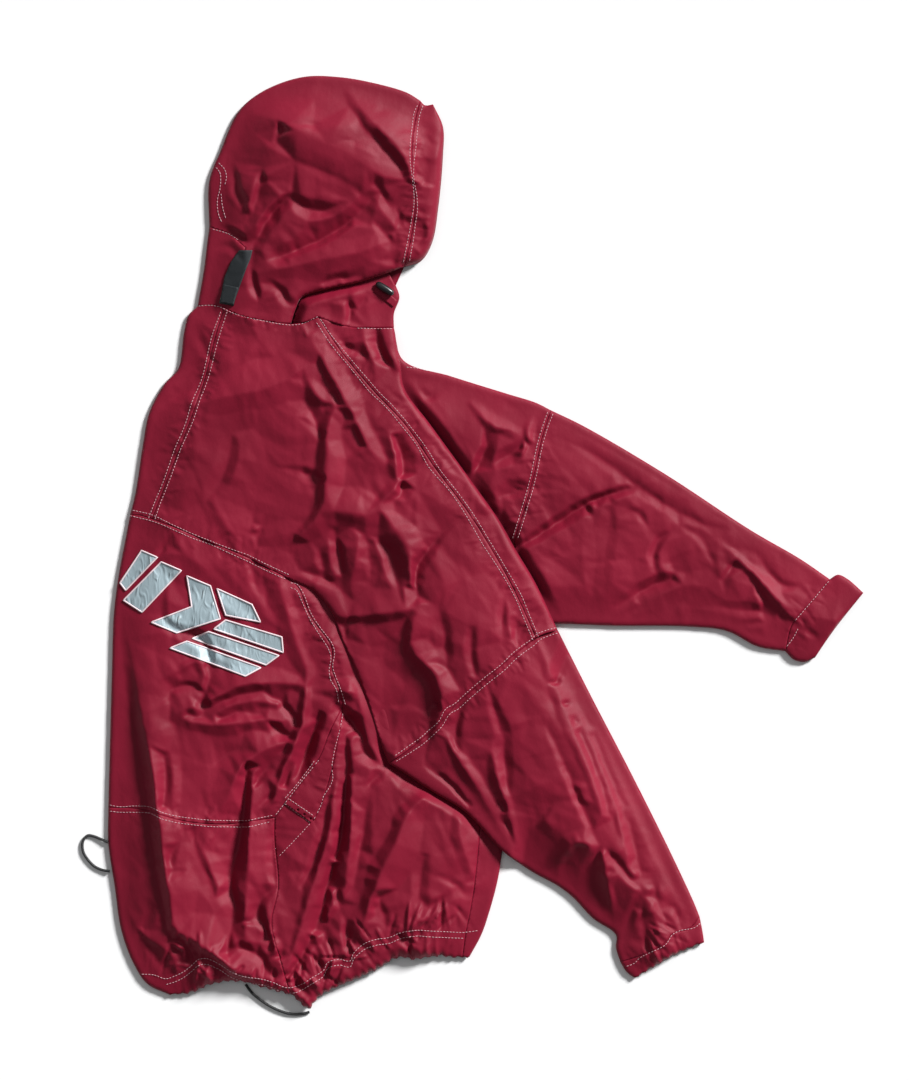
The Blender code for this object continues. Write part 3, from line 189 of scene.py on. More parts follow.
# Folds of each layer, read from the picture: a crest (height > 0) or trough (height < 0) along a row of
# points, with a width on its left and its right as it runs.
FOLDS = {
    "body": [
        # left, right, height, points
        # back panel, from the patches down
        (34, 9, 6.5, [(-398, -72), (-385, -140), (-374, -200), (-365, -245), (-358, -295), (-351, -345),
            (-343, -400), (-335, -445)]),
        (4, 20, -3, [(-405, -85), (-396, -140), (-386, -200), (-376, -250), (-369, -300), (-362, -350),
            (-352, -405), (-345, -440)]),
        (28, 8, 6, [(-345, -424), (-325, -434), (-305, -446), (-285, -460), (-262, -481)]),
        (18, 6, 4, [(-398, -388), (-386, -415), (-372, -434), (-352, -446)]),
        (4, 7, -2.2, [(-378, -431), (-368, -412), (-358, -398)]),
        (5, 12, -2.5, [(-320, -318), (-313, -345), (-300, -375), (-289, -402)]),
        (3, 6, 1.6, [(-333, -330), (-338, -352), (-345, -366)]),
        (11, 26, -6.5, [(-262, -246), (-263, -290), (-266, -325), (-279, -370), (-274, -402),
            (-283, -452)]),
        (16, 8, 3, [(-253, -255), (-257, -300), (-259, -345), (-261, -390), (-262, -440)]),
        (6, 10, -3.5, [(-226, -381), (-238, -386), (-246, -396), (-249, -410), (-240, -425), (-232, -445)]),
        (8, 8, 3, [(-238, -402), (-236, -425), (-228, -450), (-213, -480)]),
        (5, 5, -2.5, [(-266, -420), (-254, -415), (-243, -422), (-233, -440), (-223, -462)]),
        (6, 8, -4, [(-278, -447), (-258, -449), (-244, -458), (-236, -475)]),
        (5, 5, -3, [(-338, -432), (-336, -450), (-330, -470)]),
        (5, 6, -3, [(-372, -440), (-362, -455), (-352, -475)]),
        (6, 6, -3.5, [(-322, -442), (-322, -462), (-330, -478)]),
        (6, 9, -3.5, [(-354, -80), (-345, -92), (-328, -101), (-310, -106), (-302, -120), (-296, -144)]),
        (4, 7, -2.5, [(-348, -172), (-340, -162), (-325, -158), (-312, -163)]),
        (4, 5, 1.6, [(-352, -150), (-335, -142), (-322, -133), (-312, -133), (-307, -148), (-315, -175)]),
        (3, 4, -1.4, [(-318, -128), (-304, -140), (-302, -155), (-312, -180)]),
        (18, 8, 5.5, [(-338, -188), (-310, -179), (-292, -170), (-272, -160), (-245, -156), (-205, -157)]),
        (9, 7, 3.2, [(-302, -196), (-283, -183), (-255, -176), (-226, -179)]),
        (6, 10, 4, [(-338, -191), (-315, -199), (-280, -200), (-240, -196), (-222, -199)]),
        (5, 6, -4, [(-237, -197), (-226, -208), (-213, -217)]),
        (11, 24, 5, [(-216, -220), (-235, -226), (-258, -240), (-272, -258), (-281, -284)]),
        (4, 6, -3, [(-232, -172), (-222, -178), (-212, -190), (-205, -202)]),
        (7, 6, 5, [(-196, -150), (-196, -175), (-200, -200), (-209, -228), (-220, -255), (-231, -285)]),
        (8, 9, -8, [(-178, -190), (-186, -205), (-194, -228), (-205, -258)]),
        (5, 6, -3.5, [(-213, -250), (-224, -272), (-240, -285)]),
        (4, 5, -3, [(-232, -240), (-245, -258), (-258, -275)]),
        (10, 14, 3, [(-226, -45), (-215, -80), (-205, -115), (-190, -150)]),
        (3, 5, -2.2, [(-256, -26), (-252, -42), (-246, -62)]),
        (3, 5, -1.8, [(-243, -38), (-240, -52), (-238, -70)]),
        (4, 4, -2, [(-372, 14), (-385, 6), (-399, -6)]),
        (4, 5, -2.2, [(-345, 2), (-352, -8), (-360, -20)]),
        (2.5, 3, -1.2, [(-352, -235), (-349, -262), (-352, -290)]),
        (2.5, 3, 1.2, [(-345, -232), (-341, -260), (-343, -296)]),
        (3, 3, -1.2, [(-334, -225), (-332, -262), (-334, -300)]),
        (3, 6, -2, [(-300, -250), (-285, -236), (-268, -228)]),
        # front
        (7, 10, -6.5, [(-152, -205), (-151, -255), (-154, -300), (-160, -340), (-172, -378), (-180, -412),
            (-197, -450), (-213, -484)]),
        (5, 6, -3.5, [(-164, -352), (-162, -380), (-158, -412)]),
        (5, 6, -4, [(-152, -415), (-149, -440), (-146, -460)]),
        (24, 10, 7, [(-58, -276), (-76, -290), (-89, -308), (-97, -332), (-112, -362), (-124, -392),
            (-136, -432)]),
        (8, 5, 3, [(-84, -430), (-70, -417), (-54, -409)]),
        (4, 5, -3.5, [(-98, -437), (-86, -441), (-78, -455)]),
        (12, 9, 3, [(-27, -296), (-26, -325), (-16, -352), (-9, -378)]),
        (2.5, 4, -2.2, [(-3, -318), (-8, -360), (-12, -395), (-20, -440)]),
        (8, 8, -2.5, [(-66, -345), (-70, -370), (-72, -400)]),
        (5, 6, -2, [(-48, -368), (-30, -378), (-15, -396)]),
        (4, 6, -2.2, [(-66, -404), (-52, -396), (-34, -388)]),
        (5, 6, -2, [(-116, -392), (-110, -410), (-106, -428)]),
        (5, 7, -3, [(-172, -285), (-176, -318), (-186, -352), (-200, -380)]),
        (6, 6, 3, [(-165, -275), (-170, -320), (-184, -365), (-200, -420), (-215, -470)]),
        (3, 6, -3, [(-231, -308), (-232, -345), (-229, -381)]),
        (4, 4, -1.5, [(-222, -362), (-210, -364), (-198, -362)]),
        (4, 7, -3.5, [(-156, -413), (-166, -414), (-173, -426), (-178, -448)]),
        (6, 7, -5, [(-216, -478), (-203, -489), (-190, -502)]),
        (5, 6, -3, [(-190, -432), (-184, -450), (-176, -470)]),
        (6, 9, -4, [(-142, -214), (-130, -232), (-112, -250)]),
        (5, 5, -3, [(-128, -270), (-116, -258), (-106, -250)]),
        (4, 5, -3, [(-104, -252), (-92, -264), (-80, -274)]),
        (9, 9, -3, [(-128, -285), (-135, -330), (-144, -380)]),
        (5, 5, 2.5, [(-146, -260), (-147, -320), (-152, -380)]),
        (12, 12, 5, [(-162, -163), (-150, -164), (-138, -168)]),
        (9, 9, -8, [(-158, -186), (-145, -198), (-132, -218)]),
    ],
    "cover": [
        # yoke
        (14, 5, 4.5, [(-190, 222), (-176, 196), (-158, 163), (-143, 136), (-130, 108), (-121, 95)]),
        (8, 6, 3, [(-194, 178), (-184, 160), (-172, 152), (-160, 150)]),
        (16, 8, 6, [(-164, 146), (-172, 120), (-172, 92), (-174, 64), (-175, 42), (-186, 22), (-204, 4)]),
        (6, 8, -2.5, [(-204, 78), (-190, 72), (-178, 68)]),
        (3.5, 4, -2.5, [(-196, 158), (-187, 136), (-178, 114)]),
        (22, 13, 6, [(-178, 33), (-152, 32), (-130, 28), (-113, 33)]),
        (14, 12, 6, [(-114, 40), (-108, 26), (-96, 10), (-84, -6), (-80, -28), (-79, -48)]),
        (6, 8, 3.5, [(-90, 68), (-98, 56), (-114, 42)]),
        (14, 5, -5, [(-98, 114), (-90, 88), (-90, 66), (-93, 50)]),
        (5, 8, 3.5, [(-106, 122), (-99, 100), (-95, 78), (-96, 62)]),
        (8, 4, -4.5, [(-47, 9), (-60, -8), (-74, -30), (-76, -44), (-72, -60)]),
        (6, 8, -4, [(-164, 12), (-160, -10), (-156, -40)]),
        (4, 5, -2.5, [(-182, -8), (-178, -22), (-172, -38)]),
        (4, 4, 2.5, [(-138, 5), (-140, -20), (-146, -45)]),
        (3, 4, -2, [(-130, 5), (-126, -20), (-124, -50)]),
        (8, 8, -4, [(-116, 4), (-102, -18), (-95, -50)]),
        (3, 3, -2, [(-204, 4), (-208, -15), (-213, -36)]),
        (4, 5, -3, [(-206, -32), (-188, -37), (-170, -44), (-156, -54)]),
        (24, 16, 3.5, [(-322, 150), (-285, 158), (-250, 164), (-215, 178), (-190, 195)]),
        (9, 12, -2.5, [(-276, 118), (-280, 92), (-289, 66), (-306, 44)]),
        (3, 3, -1.4, [(-253, 62), (-252, 35), (-258, 5)]),
        (4, 5, -1.6, [(-240, 30), (-246, 8), (-252, -14)]),
        (3, 4, -2.5, [(-341, 97), (-356, 96), (-366, 84), (-382, 70)]),
        (3, 4, -2, [(-350, 66), (-366, 62), (-383, 56)]),
        (6, 10, -5, [(-318, 176), (-335, 162), (-352, 152), (-370, 142)]),
        (5, 8, -5, [(-312, 196), (-325, 186), (-345, 172)]),
        (6, 7, -3, [(-318, 232), (-310, 215), (-300, 200)]),
        # front of the shoulder
        (4, 6, -3, [(-160, 222), (-148, 212), (-130, 204)]),
        (7, 5, -5, [(-118, 232), (-116, 212), (-108, 196), (-102, 188)]),
        (3, 4, 2, [(-132, 226), (-128, 208), (-118, 190)]),
        (3, 4, -1.6, [(-60, 112), (-40, 86), (-22, 66)]),
        # underarm
        (20, 8, 5, [(-150, -84), (-122, -80), (-95, -77), (-70, -72)]),
        (16, 7, 5, [(-70, -70), (-77, -90), (-81, -110), (-82, -122)]),
        (22, 10, 7, [(-84, -120), (-66, -133), (-52, -148), (-47, -168), (-48, -188), (-52, -204)]),
        (3, 3, -1.8, [(-106, -104), (-110, -122), (-110, -140)]),
        (3, 4, -2, [(-115, -178), (-100, -182), (-84, -178)]),
        (3, 4, -1.6, [(-70, -188), (-55, -182), (-45, -178)]),
        (7, 8, -2.5, [(-50, -70), (-44, -100), (-40, -140)]),
        (6, 7, -2.5, [(-14, -96), (-14, -125), (-8, -150)]),
        (3.5, 5, -3.5, [(37, -80), (35, -98), (36, -116)]),
        (5, 6, -2, [(22, -60), (20, -85), (20, -110)]),
        (4, 4, -2.5, [(-150, -82), (-153, -98), (-150, -112)]),
        # near sleeve
        (7, 8, 5, [(60, -112), (72, -142), (85, -175), (97, -207), (112, -242), (124, -276), (130, -300)]),
        (6, 5, 4, [(84, -150), (98, -180), (113, -212), (127, -246), (140, -278), (151, -318),
            (158, -345)]),
        (9, 5, 4.5, [(108, -165), (120, -195), (136, -235), (154, -275), (172, -315), (186, -348),
            (202, -380)]),
        (4, 5, -2.8, [(62, -192), (78, -222), (92, -256), (103, -282), (116, -312), (127, -335)]),
        (6, 9, 4, [(8, -230), (18, -270), (28, -305), (38, -345)]),
        (8, 6, 4.5, [(-42, -215), (-28, -240), (-8, -270), (8, -298), (26, -335)]),
        (5, 4, 3.5, [(-92, -240), (-64, -262), (-40, -278), (-12, -302), (14, -330)]),
        (5, 6, -4, [(-66, -248), (-48, -258), (-28, -278), (-10, -302)]),
        (8, 8, -2.5, [(22, -200), (22, -235), (26, -270)]),
        (4, 6, -3, [(20, -275), (26, -310), (36, -342)]),
        (6, 12, 5, [(116, -334), (102, -330), (90, -340), (82, -358), (80, -378)]),
        (3, 4, -1.8, [(48, -322), (62, -304), (82, -280)]),
        (4, 6, -3.5, [(126, -334), (122, -366), (126, -398), (132, -425)]),
        (4, 5, 3.5, [(127, -335), (134, -368), (141, -405), (148, -440)]),
        (5, 6, -3, [(132, -338), (146, -352), (162, -372), (176, -384)]),
        (5, 7, -3, [(118, -345), (112, -368), (114, -395)]),
        (7, 8, -4, [(160, -310), (168, -345), (174, -378)]),
        (6, 5, -4.5, [(174, -384), (164, -402), (154, -428), (146, -455)]),
        (4, 5, -3.5, [(176, -385), (174, -415), (176, -448)]),
        (5, 5, -3.5, [(184, -365), (190, -392), (200, -418)]),
        (5, 6, -4, [(188, -394), (202, -397), (214, -410), (222, -424)]),
        (4, 5, -2.5, [(196, -350), (210, -378), (222, -402)]),
        (6, 4, -4.5, [(88, -118), (84, -140), (79, -160), (88, -178)]),
        (5, 6, -2, [(2, -158), (14, -190), (20, -225)]),
        (5, 6, -2.5, [(-22, -170), (-30, -200), (-32, -232)]),
    ],
    "far": [
        (10, 5, 4, [(-14, 152), (-2, 137), (12, 126), (34, 120)]),
        (3.5, 4.5, -6, [(8, 112), (0, 98), (-8, 82), (-16, 66)]),
        (10, 10, -3.5, [(48, 106), (30, 96), (8, 84)]),
        (8, 12, -3, [(52, 58), (30, 52), (8, 46)]),
        (5, 6, -2.5, [(20, 162), (26, 152), (40, 145)]),
        (5, 5, 3, [(58, 146), (50, 128), (49, 112), (42, 98)]),
        (5, 4, -2.5, [(64, 140), (57, 124), (55, 108)]),
        (3, 4, -2.2, [(10, 48), (20, 38), (18, 24)]),
        (5, 6, -3, [(-72, 168), (-60, 158), (-44, 172)]),
        (6, 8, -4, [(-88, 180), (-72, 180), (-50, 180)]),
        (6, 8, -6, [(34, -9), (60, 7), (92, 28), (122, 45), (150, 55), (170, 60)]),
        (5, 16, 5.5, [(90, 124), (120, 108), (160, 85), (200, 61), (240, 36), (275, 14), (310, -8),
            (340, -27)]),
        (4, 8, -4, [(110, 102), (136, 86), (174, 57), (214, 32), (248, 16)]),
        (5, 4, 3, [(206, 66), (220, 46), (232, 31), (252, 22), (275, 15), (300, 8)]),
        (10, 5, -3.5, [(222, 50), (240, 38), (262, 26), (290, 14)]),
        (6, 5, 3.5, [(258, -2), (274, -14), (286, -26), (302, -42), (320, -62), (336, -82)]),
        (7, 6, -2, [(214, 16), (234, 8), (246, -8), (252, -30)]),
        (6, 5, -3, [(276, -8), (274, -26), (262, -42)]),
        (5, 5, -2, [(158, 36), (170, 30), (180, 15)]),
        (5, 6, -2.5, [(205, 10), (192, 0), (186, -18), (190, -36)]),
        (4, 5, -2.2, [(204, -18), (206, -30), (212, -38)]),
        (7, 10, -5, [(144, -73), (165, -60), (186, -48), (206, -42), (222, -35)]),
        (4, 6, -3, [(152, -86), (166, -76), (180, -64)]),
        (4, 6, -3, [(204, -90), (210, -74), (224, -64)]),
        (3, 4, -2.5, [(226, -72), (228, -84), (232, -92)]),
        (8, 8, -4, [(258, -72), (280, -76), (305, -78), (336, -86)]),
        (4, 4, -2.5, [(262, -96), (290, -92), (318, -88), (338, -88)]),
        (5, 8, -3.5, [(300, -14), (312, -32), (328, -48), (346, -50)]),
        (5, 4, -3, [(372, -40), (362, -50), (352, -64)]),
        (4, 3, -2.5, [(78, -84), (130, -86), (190, -90), (262, -91)]),
        (3, 4, -2.5, [(270, -98), (300, -104), (330, -110)]),
        (10, 10, -1.5, [(118, 40), (122, 0), (120, -60)]),
        (8, 10, -1.5, [(140, 40), (135, 0), (132, -50)]),
        (5, 5, -3, [(292, -40), (306, -62), (322, -80)]),
        (4, 5, -2.5, [(352, -96), (362, -104), (368, -110)]),
        (3, 4, -2, [(345, -108), (352, -120), (360, -126)]),
    ],
    "hood": [
        (5, 10, -6.5, [(-254, 320), (-243, 345), (-229, 364), (-211, 382)]),
        (8, 10, -4, [(-214, 380), (-198, 368), (-178, 362), (-158, 368)]),
        (14, 5, -6, [(-228, 310), (-200, 321), (-172, 334), (-148, 350), (-134, 364), (-121, 378)]),
        (22, 9, 6, [(-150, 500), (-138, 478), (-120, 458), (-101, 438), (-84, 414), (-80, 396)]),
        (40, 26, 8, [(-264, 474), (-228, 462), (-192, 442), (-152, 425), (-110, 398)]),
        (4, 6, -4, [(-272, 436), (-275, 410), (-270, 380), (-262, 356)]),
        (4, 5, -3, [(-280, 435), (-284, 415), (-283, 398)]),
        (5, 5, -4, [(-243, 410), (-248, 382), (-254, 362), (-264, 348)]),
        (3, 4, -2.5, [(-238, 395), (-240, 375), (-250, 355)]),
        (3, 4, -2, [(-222, 455), (-226, 444), (-232, 436)]),
        (4, 5, -3, [(-100, 376), (-92, 352), (-96, 340)]),
        (5, 7, -3, [(-118, 392), (-106, 372), (-98, 354)]),
        (4, 6, -2, [(-122, 352), (-108, 336), (-94, 322)]),
        (3, 4, -2.5, [(-104, 316), (-100, 306), (-96, 298)]),
        (3, 4, -2, [(-66, 452), (-60, 440), (-48, 432)]),
        (3, 4, -2, [(-74, 402), (-62, 392), (-52, 388)]),
        (3, 4, -1.8, [(-72, 424), (-62, 416), (-52, 420)]),
        (4, 4, -2.5, [(-66, 352), (-66, 336), (-72, 324)]),
        (5, 6, -3.5, [(-256, 300), (-252, 280), (-247, 262)]),
        (14, 14, 3, [(-238, 296), (-190, 306), (-140, 316), (-105, 330)]),
        (5, 6, -3, [(-232, 282), (-220, 270), (-212, 256)]),
        (5, 6, -4, [(-182, 282), (-160, 288), (-135, 290)]),
        (4, 5, -4, [(-150, 266), (-146, 252), (-150, 238)]),
        (4, 4, -2.5, [(-128, 276), (-132, 262), (-142, 250)]),
        (3, 4, -2, [(-112, 262), (-106, 250), (-104, 240)]),
        (3, 3, -1.5, [(-170, 262), (-168, 250), (-172, 242)]),
        (4, 6, -4, [(-302, 312), (-292, 322), (-280, 323), (-272, 316)]),
        (3, 4, -2.5, [(-300, 336), (-286, 330), (-274, 331)]),
        (4, 5, -2.5, [(-306, 300), (-300, 285), (-304, 270)]),
        (4, 8, -5, [(-298, 348), (-282, 342), (-268, 334), (-256, 324)]),
    ],
}


# ---- plan geometry --------------------------------------------------------
def curve_through(points, step):
    """A Catmull-Rom curve through the points, sampled about every step mm."""
    pts = [np.array(p, float) for p in points]
    if len(pts) == 2:
        count = max(1, round(np.linalg.norm(pts[1] - pts[0]) / step))
        return [pts[0] + (pts[1] - pts[0]) * i / count for i in range(count + 1)]
    ends = [2 * pts[0] - pts[1]] + pts + [2 * pts[-1] - pts[-2]]
    out = []
    for a, b, c, d in zip(ends, ends[1:], ends[2:], ends[3:]):
        t0 = 0.0
        t1 = t0 + np.linalg.norm(b - a) ** 0.5
        t2 = t1 + np.linalg.norm(c - b) ** 0.5
        t3 = t2 + np.linalg.norm(d - c) ** 0.5
        count = max(1, round(np.linalg.norm(c - b) / step))
        for i in range(count):
            t = t1 + (t2 - t1) * i / count
            ab = a + (b - a) * (t - t0) / (t1 - t0)
            bc = b + (c - b) * (t - t1) / (t2 - t1)
            cd = c + (d - c) * (t - t2) / (t3 - t2)
            abc = ab + (bc - ab) * (t - t0) / (t2 - t0)
            bcd = bc + (cd - bc) * (t - t1) / (t3 - t1)
            out.append(abc + (bcd - abc) * (t - t1) / (t2 - t1))
    out.append(pts[-1])
    return out


LINES = {name: np.array(curve_through(points, OUTLINE_STEP)) for name, points in EDGES.items()}
# Edges drawn in by elastic or a cord: how far their outline wanders in and out.
GATHERED = {"hem_back": 2.0, "hem_front": 2.0, "hem_centre": 1.3, "cuff_right_mouth": 1.6}
GATHER_LENGTH = 9.0


def gather(line, depth, rng):
    """The same outline with uneven small scallops, its two ends unmoved."""
    steps = np.hypot(*np.diff(line, axis=0).T)
    along = np.concatenate([[0.0], np.cumsum(steps)])
    count = max(4, round(along[-1] / GATHER_LENGTH * 2.0))
    offsets = rng.uniform(0.3, 1.0, count) * np.where(np.arange(count) % 2, 1.0, -1.0)
    offsets[0] = offsets[-1] = 0.0
    places = np.linspace(0.0, 1.0, count) * along[-1]
    out = np.interp(along, places, offsets) * depth
    normals = np.gradient(line, axis=0) @ np.array([(0.0, 1.0), (-1.0, 0.0)])
    normals /= np.linalg.norm(normals, axis=1)[:, None]
    return line + normals * out[:, None]


for number, (name, depth) in enumerate(GATHERED.items()):
    LINES[name] = gather(LINES[name], depth, np.random.default_rng(number))
FAR = 1e6                     # stands for any distance beyond the reach looked at


def distance_to(lines, xy, reach=45.0):
    """Distance from each point to the nearest of the lines (names or arrays), up to reach."""
    order = np.argsort(xy[:, 1], kind="stable")
    p = xy[order]
    best = np.full(len(p), FAR)
    for line in lines:
        line = LINES[line] if isinstance(line, str) else line
        for a, b in zip(line, line[1:]):
            i, j = np.searchsorted(p[:, 1], [min(a[1], b[1]) - reach, max(a[1], b[1]) + reach])
            q = p[i:j] - a
            ab = b - a
            t = np.clip((q @ ab) / max(ab @ ab, 1e-9), 0.0, 1.0)
            q = q - t[:, None] * ab
            best[i:j] = np.minimum(best[i:j], np.hypot(q[:, 0], q[:, 1]))
    out = np.empty(len(p))
    out[order] = best
    return out


def inside(loop, xy):
    """True for each point inside the closed loop."""
    order = np.argsort(xy[:, 1], kind="stable")
    p = xy[order]
    hit = np.zeros(len(p), bool)
    for (x0, y0), (x1, y1) in zip(loop, np.roll(loop, -1, axis=0)):
        if y0 == y1:
            continue
        i, j = np.searchsorted(p[:, 1], [min(y0, y1), max(y0, y1)])
        hit[i:j] ^= p[i:j, 0] < (x1 - x0) * (p[i:j, 1] - y0) / (y1 - y0) + x0
    out = np.empty(len(p), bool)
    out[order] = hit
    return out


def chain(names):
    """Join named lines end to end; a leading '-' runs one backwards."""
    loop = []
    for name in names:
        line = LINES[name.lstrip("-")]
        loop.extend(line[:0:-1] if name.startswith("-") else line[:-1])
    return np.array(loop)


def smooth(low, high, value):
    t = np.clip((value - low) / (high - low), 0.0, 1.0)
    return t * t * (3.0 - 2.0 * t)


def quarter_round(t):
    """Rises from 0 to 1 like the side of a rounded fold."""
    t = np.clip(t, 0.0, 1.0)
    return np.sqrt(np.maximum(0.0, 1.0 - (1.0 - t) ** 2))


# ---- height maps of the open cloth, one for each layer --------------------
MAP_STEP = 1.5
MAP_X = np.arange(-452.0, 436.0, MAP_STEP)
MAP_Y = np.arange(-540.0, 532.0, MAP_STEP)
CREST_STEP = 12.0             # greatest spacing of points along a fold
LEAST_STEP = 4.0              # least spacing of them, for a narrow fold
STEP_SHARE = 1.25             # that spacing against the narrower width
FLANK = 1.25                  # how far its flanks reach, against its stated widths
FOLD_GAIN = 1.75              # all folds of the tables, against their stated heights
REACH = 1.75                  # where a fold ends, against its stated width
SHARP = 1.25                  # fall of its flanks; 1 would be flat planes
PUCKER_STEP = 4.0             # spacing of points along a pucker
RUN_ON = 20.0                 # how far its ends are looked at beyond the line
END_WIDTH = 0.62              # its width at the ends, against the middle
FLANK_CLEAR, LEAST_CLEAR = 0.83, 5.2  # how clear of every crest a flank's end stays
CREST_APART, FLANK_APART = 3.0, 4.5   # least distances between kept points
FILLER_CLEAR, FILLER_APART = 13.0, 15.0  # the same for the cloth between the folds
FILLER_REACH = 900.0          # covers the map at any turn
MAP_MARGIN = 5.0


def add_fold(heights, left, right, height, points):
    """Adds one fold along a curve through the points, with a width on each side of it."""
    line = np.array(curve_through(points, PUCKER_STEP))
    margin = 2.4 * max(left, right) + 3.0
    i0, i1 = np.searchsorted(MAP_X, [line[:, 0].min() - margin, line[:, 0].max() + margin])
    j0, j1 = np.searchsorted(MAP_Y, [line[:, 1].min() - margin, line[:, 1].max() + margin])
    x, y = np.meshgrid(MAP_X[i0:i1], MAP_Y[j0:j1])
    best = np.full(x.shape, FAR)
    side, share = np.zeros(x.shape), np.zeros(x.shape)
    steps = np.hypot(*np.diff(line, axis=0).T)
    starts = np.concatenate([[0.0], np.cumsum(steps)])
    for k, ((ax, ay), (bx, by)) in enumerate(zip(line, line[1:])):
        ux, uy = (bx - ax) / steps[k], (by - ay) / steps[k]
        low = -RUN_ON if k == 0 else 0.0
        high = steps[k] + (RUN_ON if k == len(steps) - 1 else 0.0)
        t = np.clip((x - ax) * ux + (y - ay) * uy, low, high)
        dx, dy = x - ax - t * ux, y - ay - t * uy
        d = np.hypot(dx, dy)
        closer = d < best
        best = np.where(closer, d, best)
        side = np.where(closer, ux * dy - uy * dx, side)
        share = np.where(closer, (starts[k] + t) / starts[-1], share)
    middle = np.sin(math.pi * np.clip(share, 0.0, 1.0))
    width = np.where(side > 0.0, left, right) * (END_WIDTH + (1.0 - END_WIDTH) * middle)
    ends = smooth(-0.06, 0.28, share) * smooth(1.06, 0.72, share)
    flank = np.clip(1.0 - best / (REACH * width), 0.0, 1.0)
    heights[j0:j1, i0:i1] += height * ends * flank ** SHARP


def sample(heights, xy):
    """Smooth (Catmull-Rom) reading of a map at points."""
    fx = np.clip((xy[:, 0] - MAP_X[0]) / MAP_STEP, 1.0, len(MAP_X) - 3.001)
    fy = np.clip((xy[:, 1] - MAP_Y[0]) / MAP_STEP, 1.0, len(MAP_Y) - 3.001)
    i, j = fx.astype(int), fy.astype(int)

    def weights(t):
        return (((2.0 - t) * t - 1.0) * t / 2.0, ((3.0 * t - 5.0) * t * t + 2.0) / 2.0,
                ((4.0 - 3.0 * t) * t + 1.0) * t / 2.0, (t - 1.0) * t * t / 2.0)
    out = np.zeros(len(xy))
    for dj, wy in zip(range(-1, 3), weights(fy - j)):
        for di, wx in zip(range(-1, 3), weights(fx - i)):
            out += wy * wx * heights[j + dj, i + di]
    return out


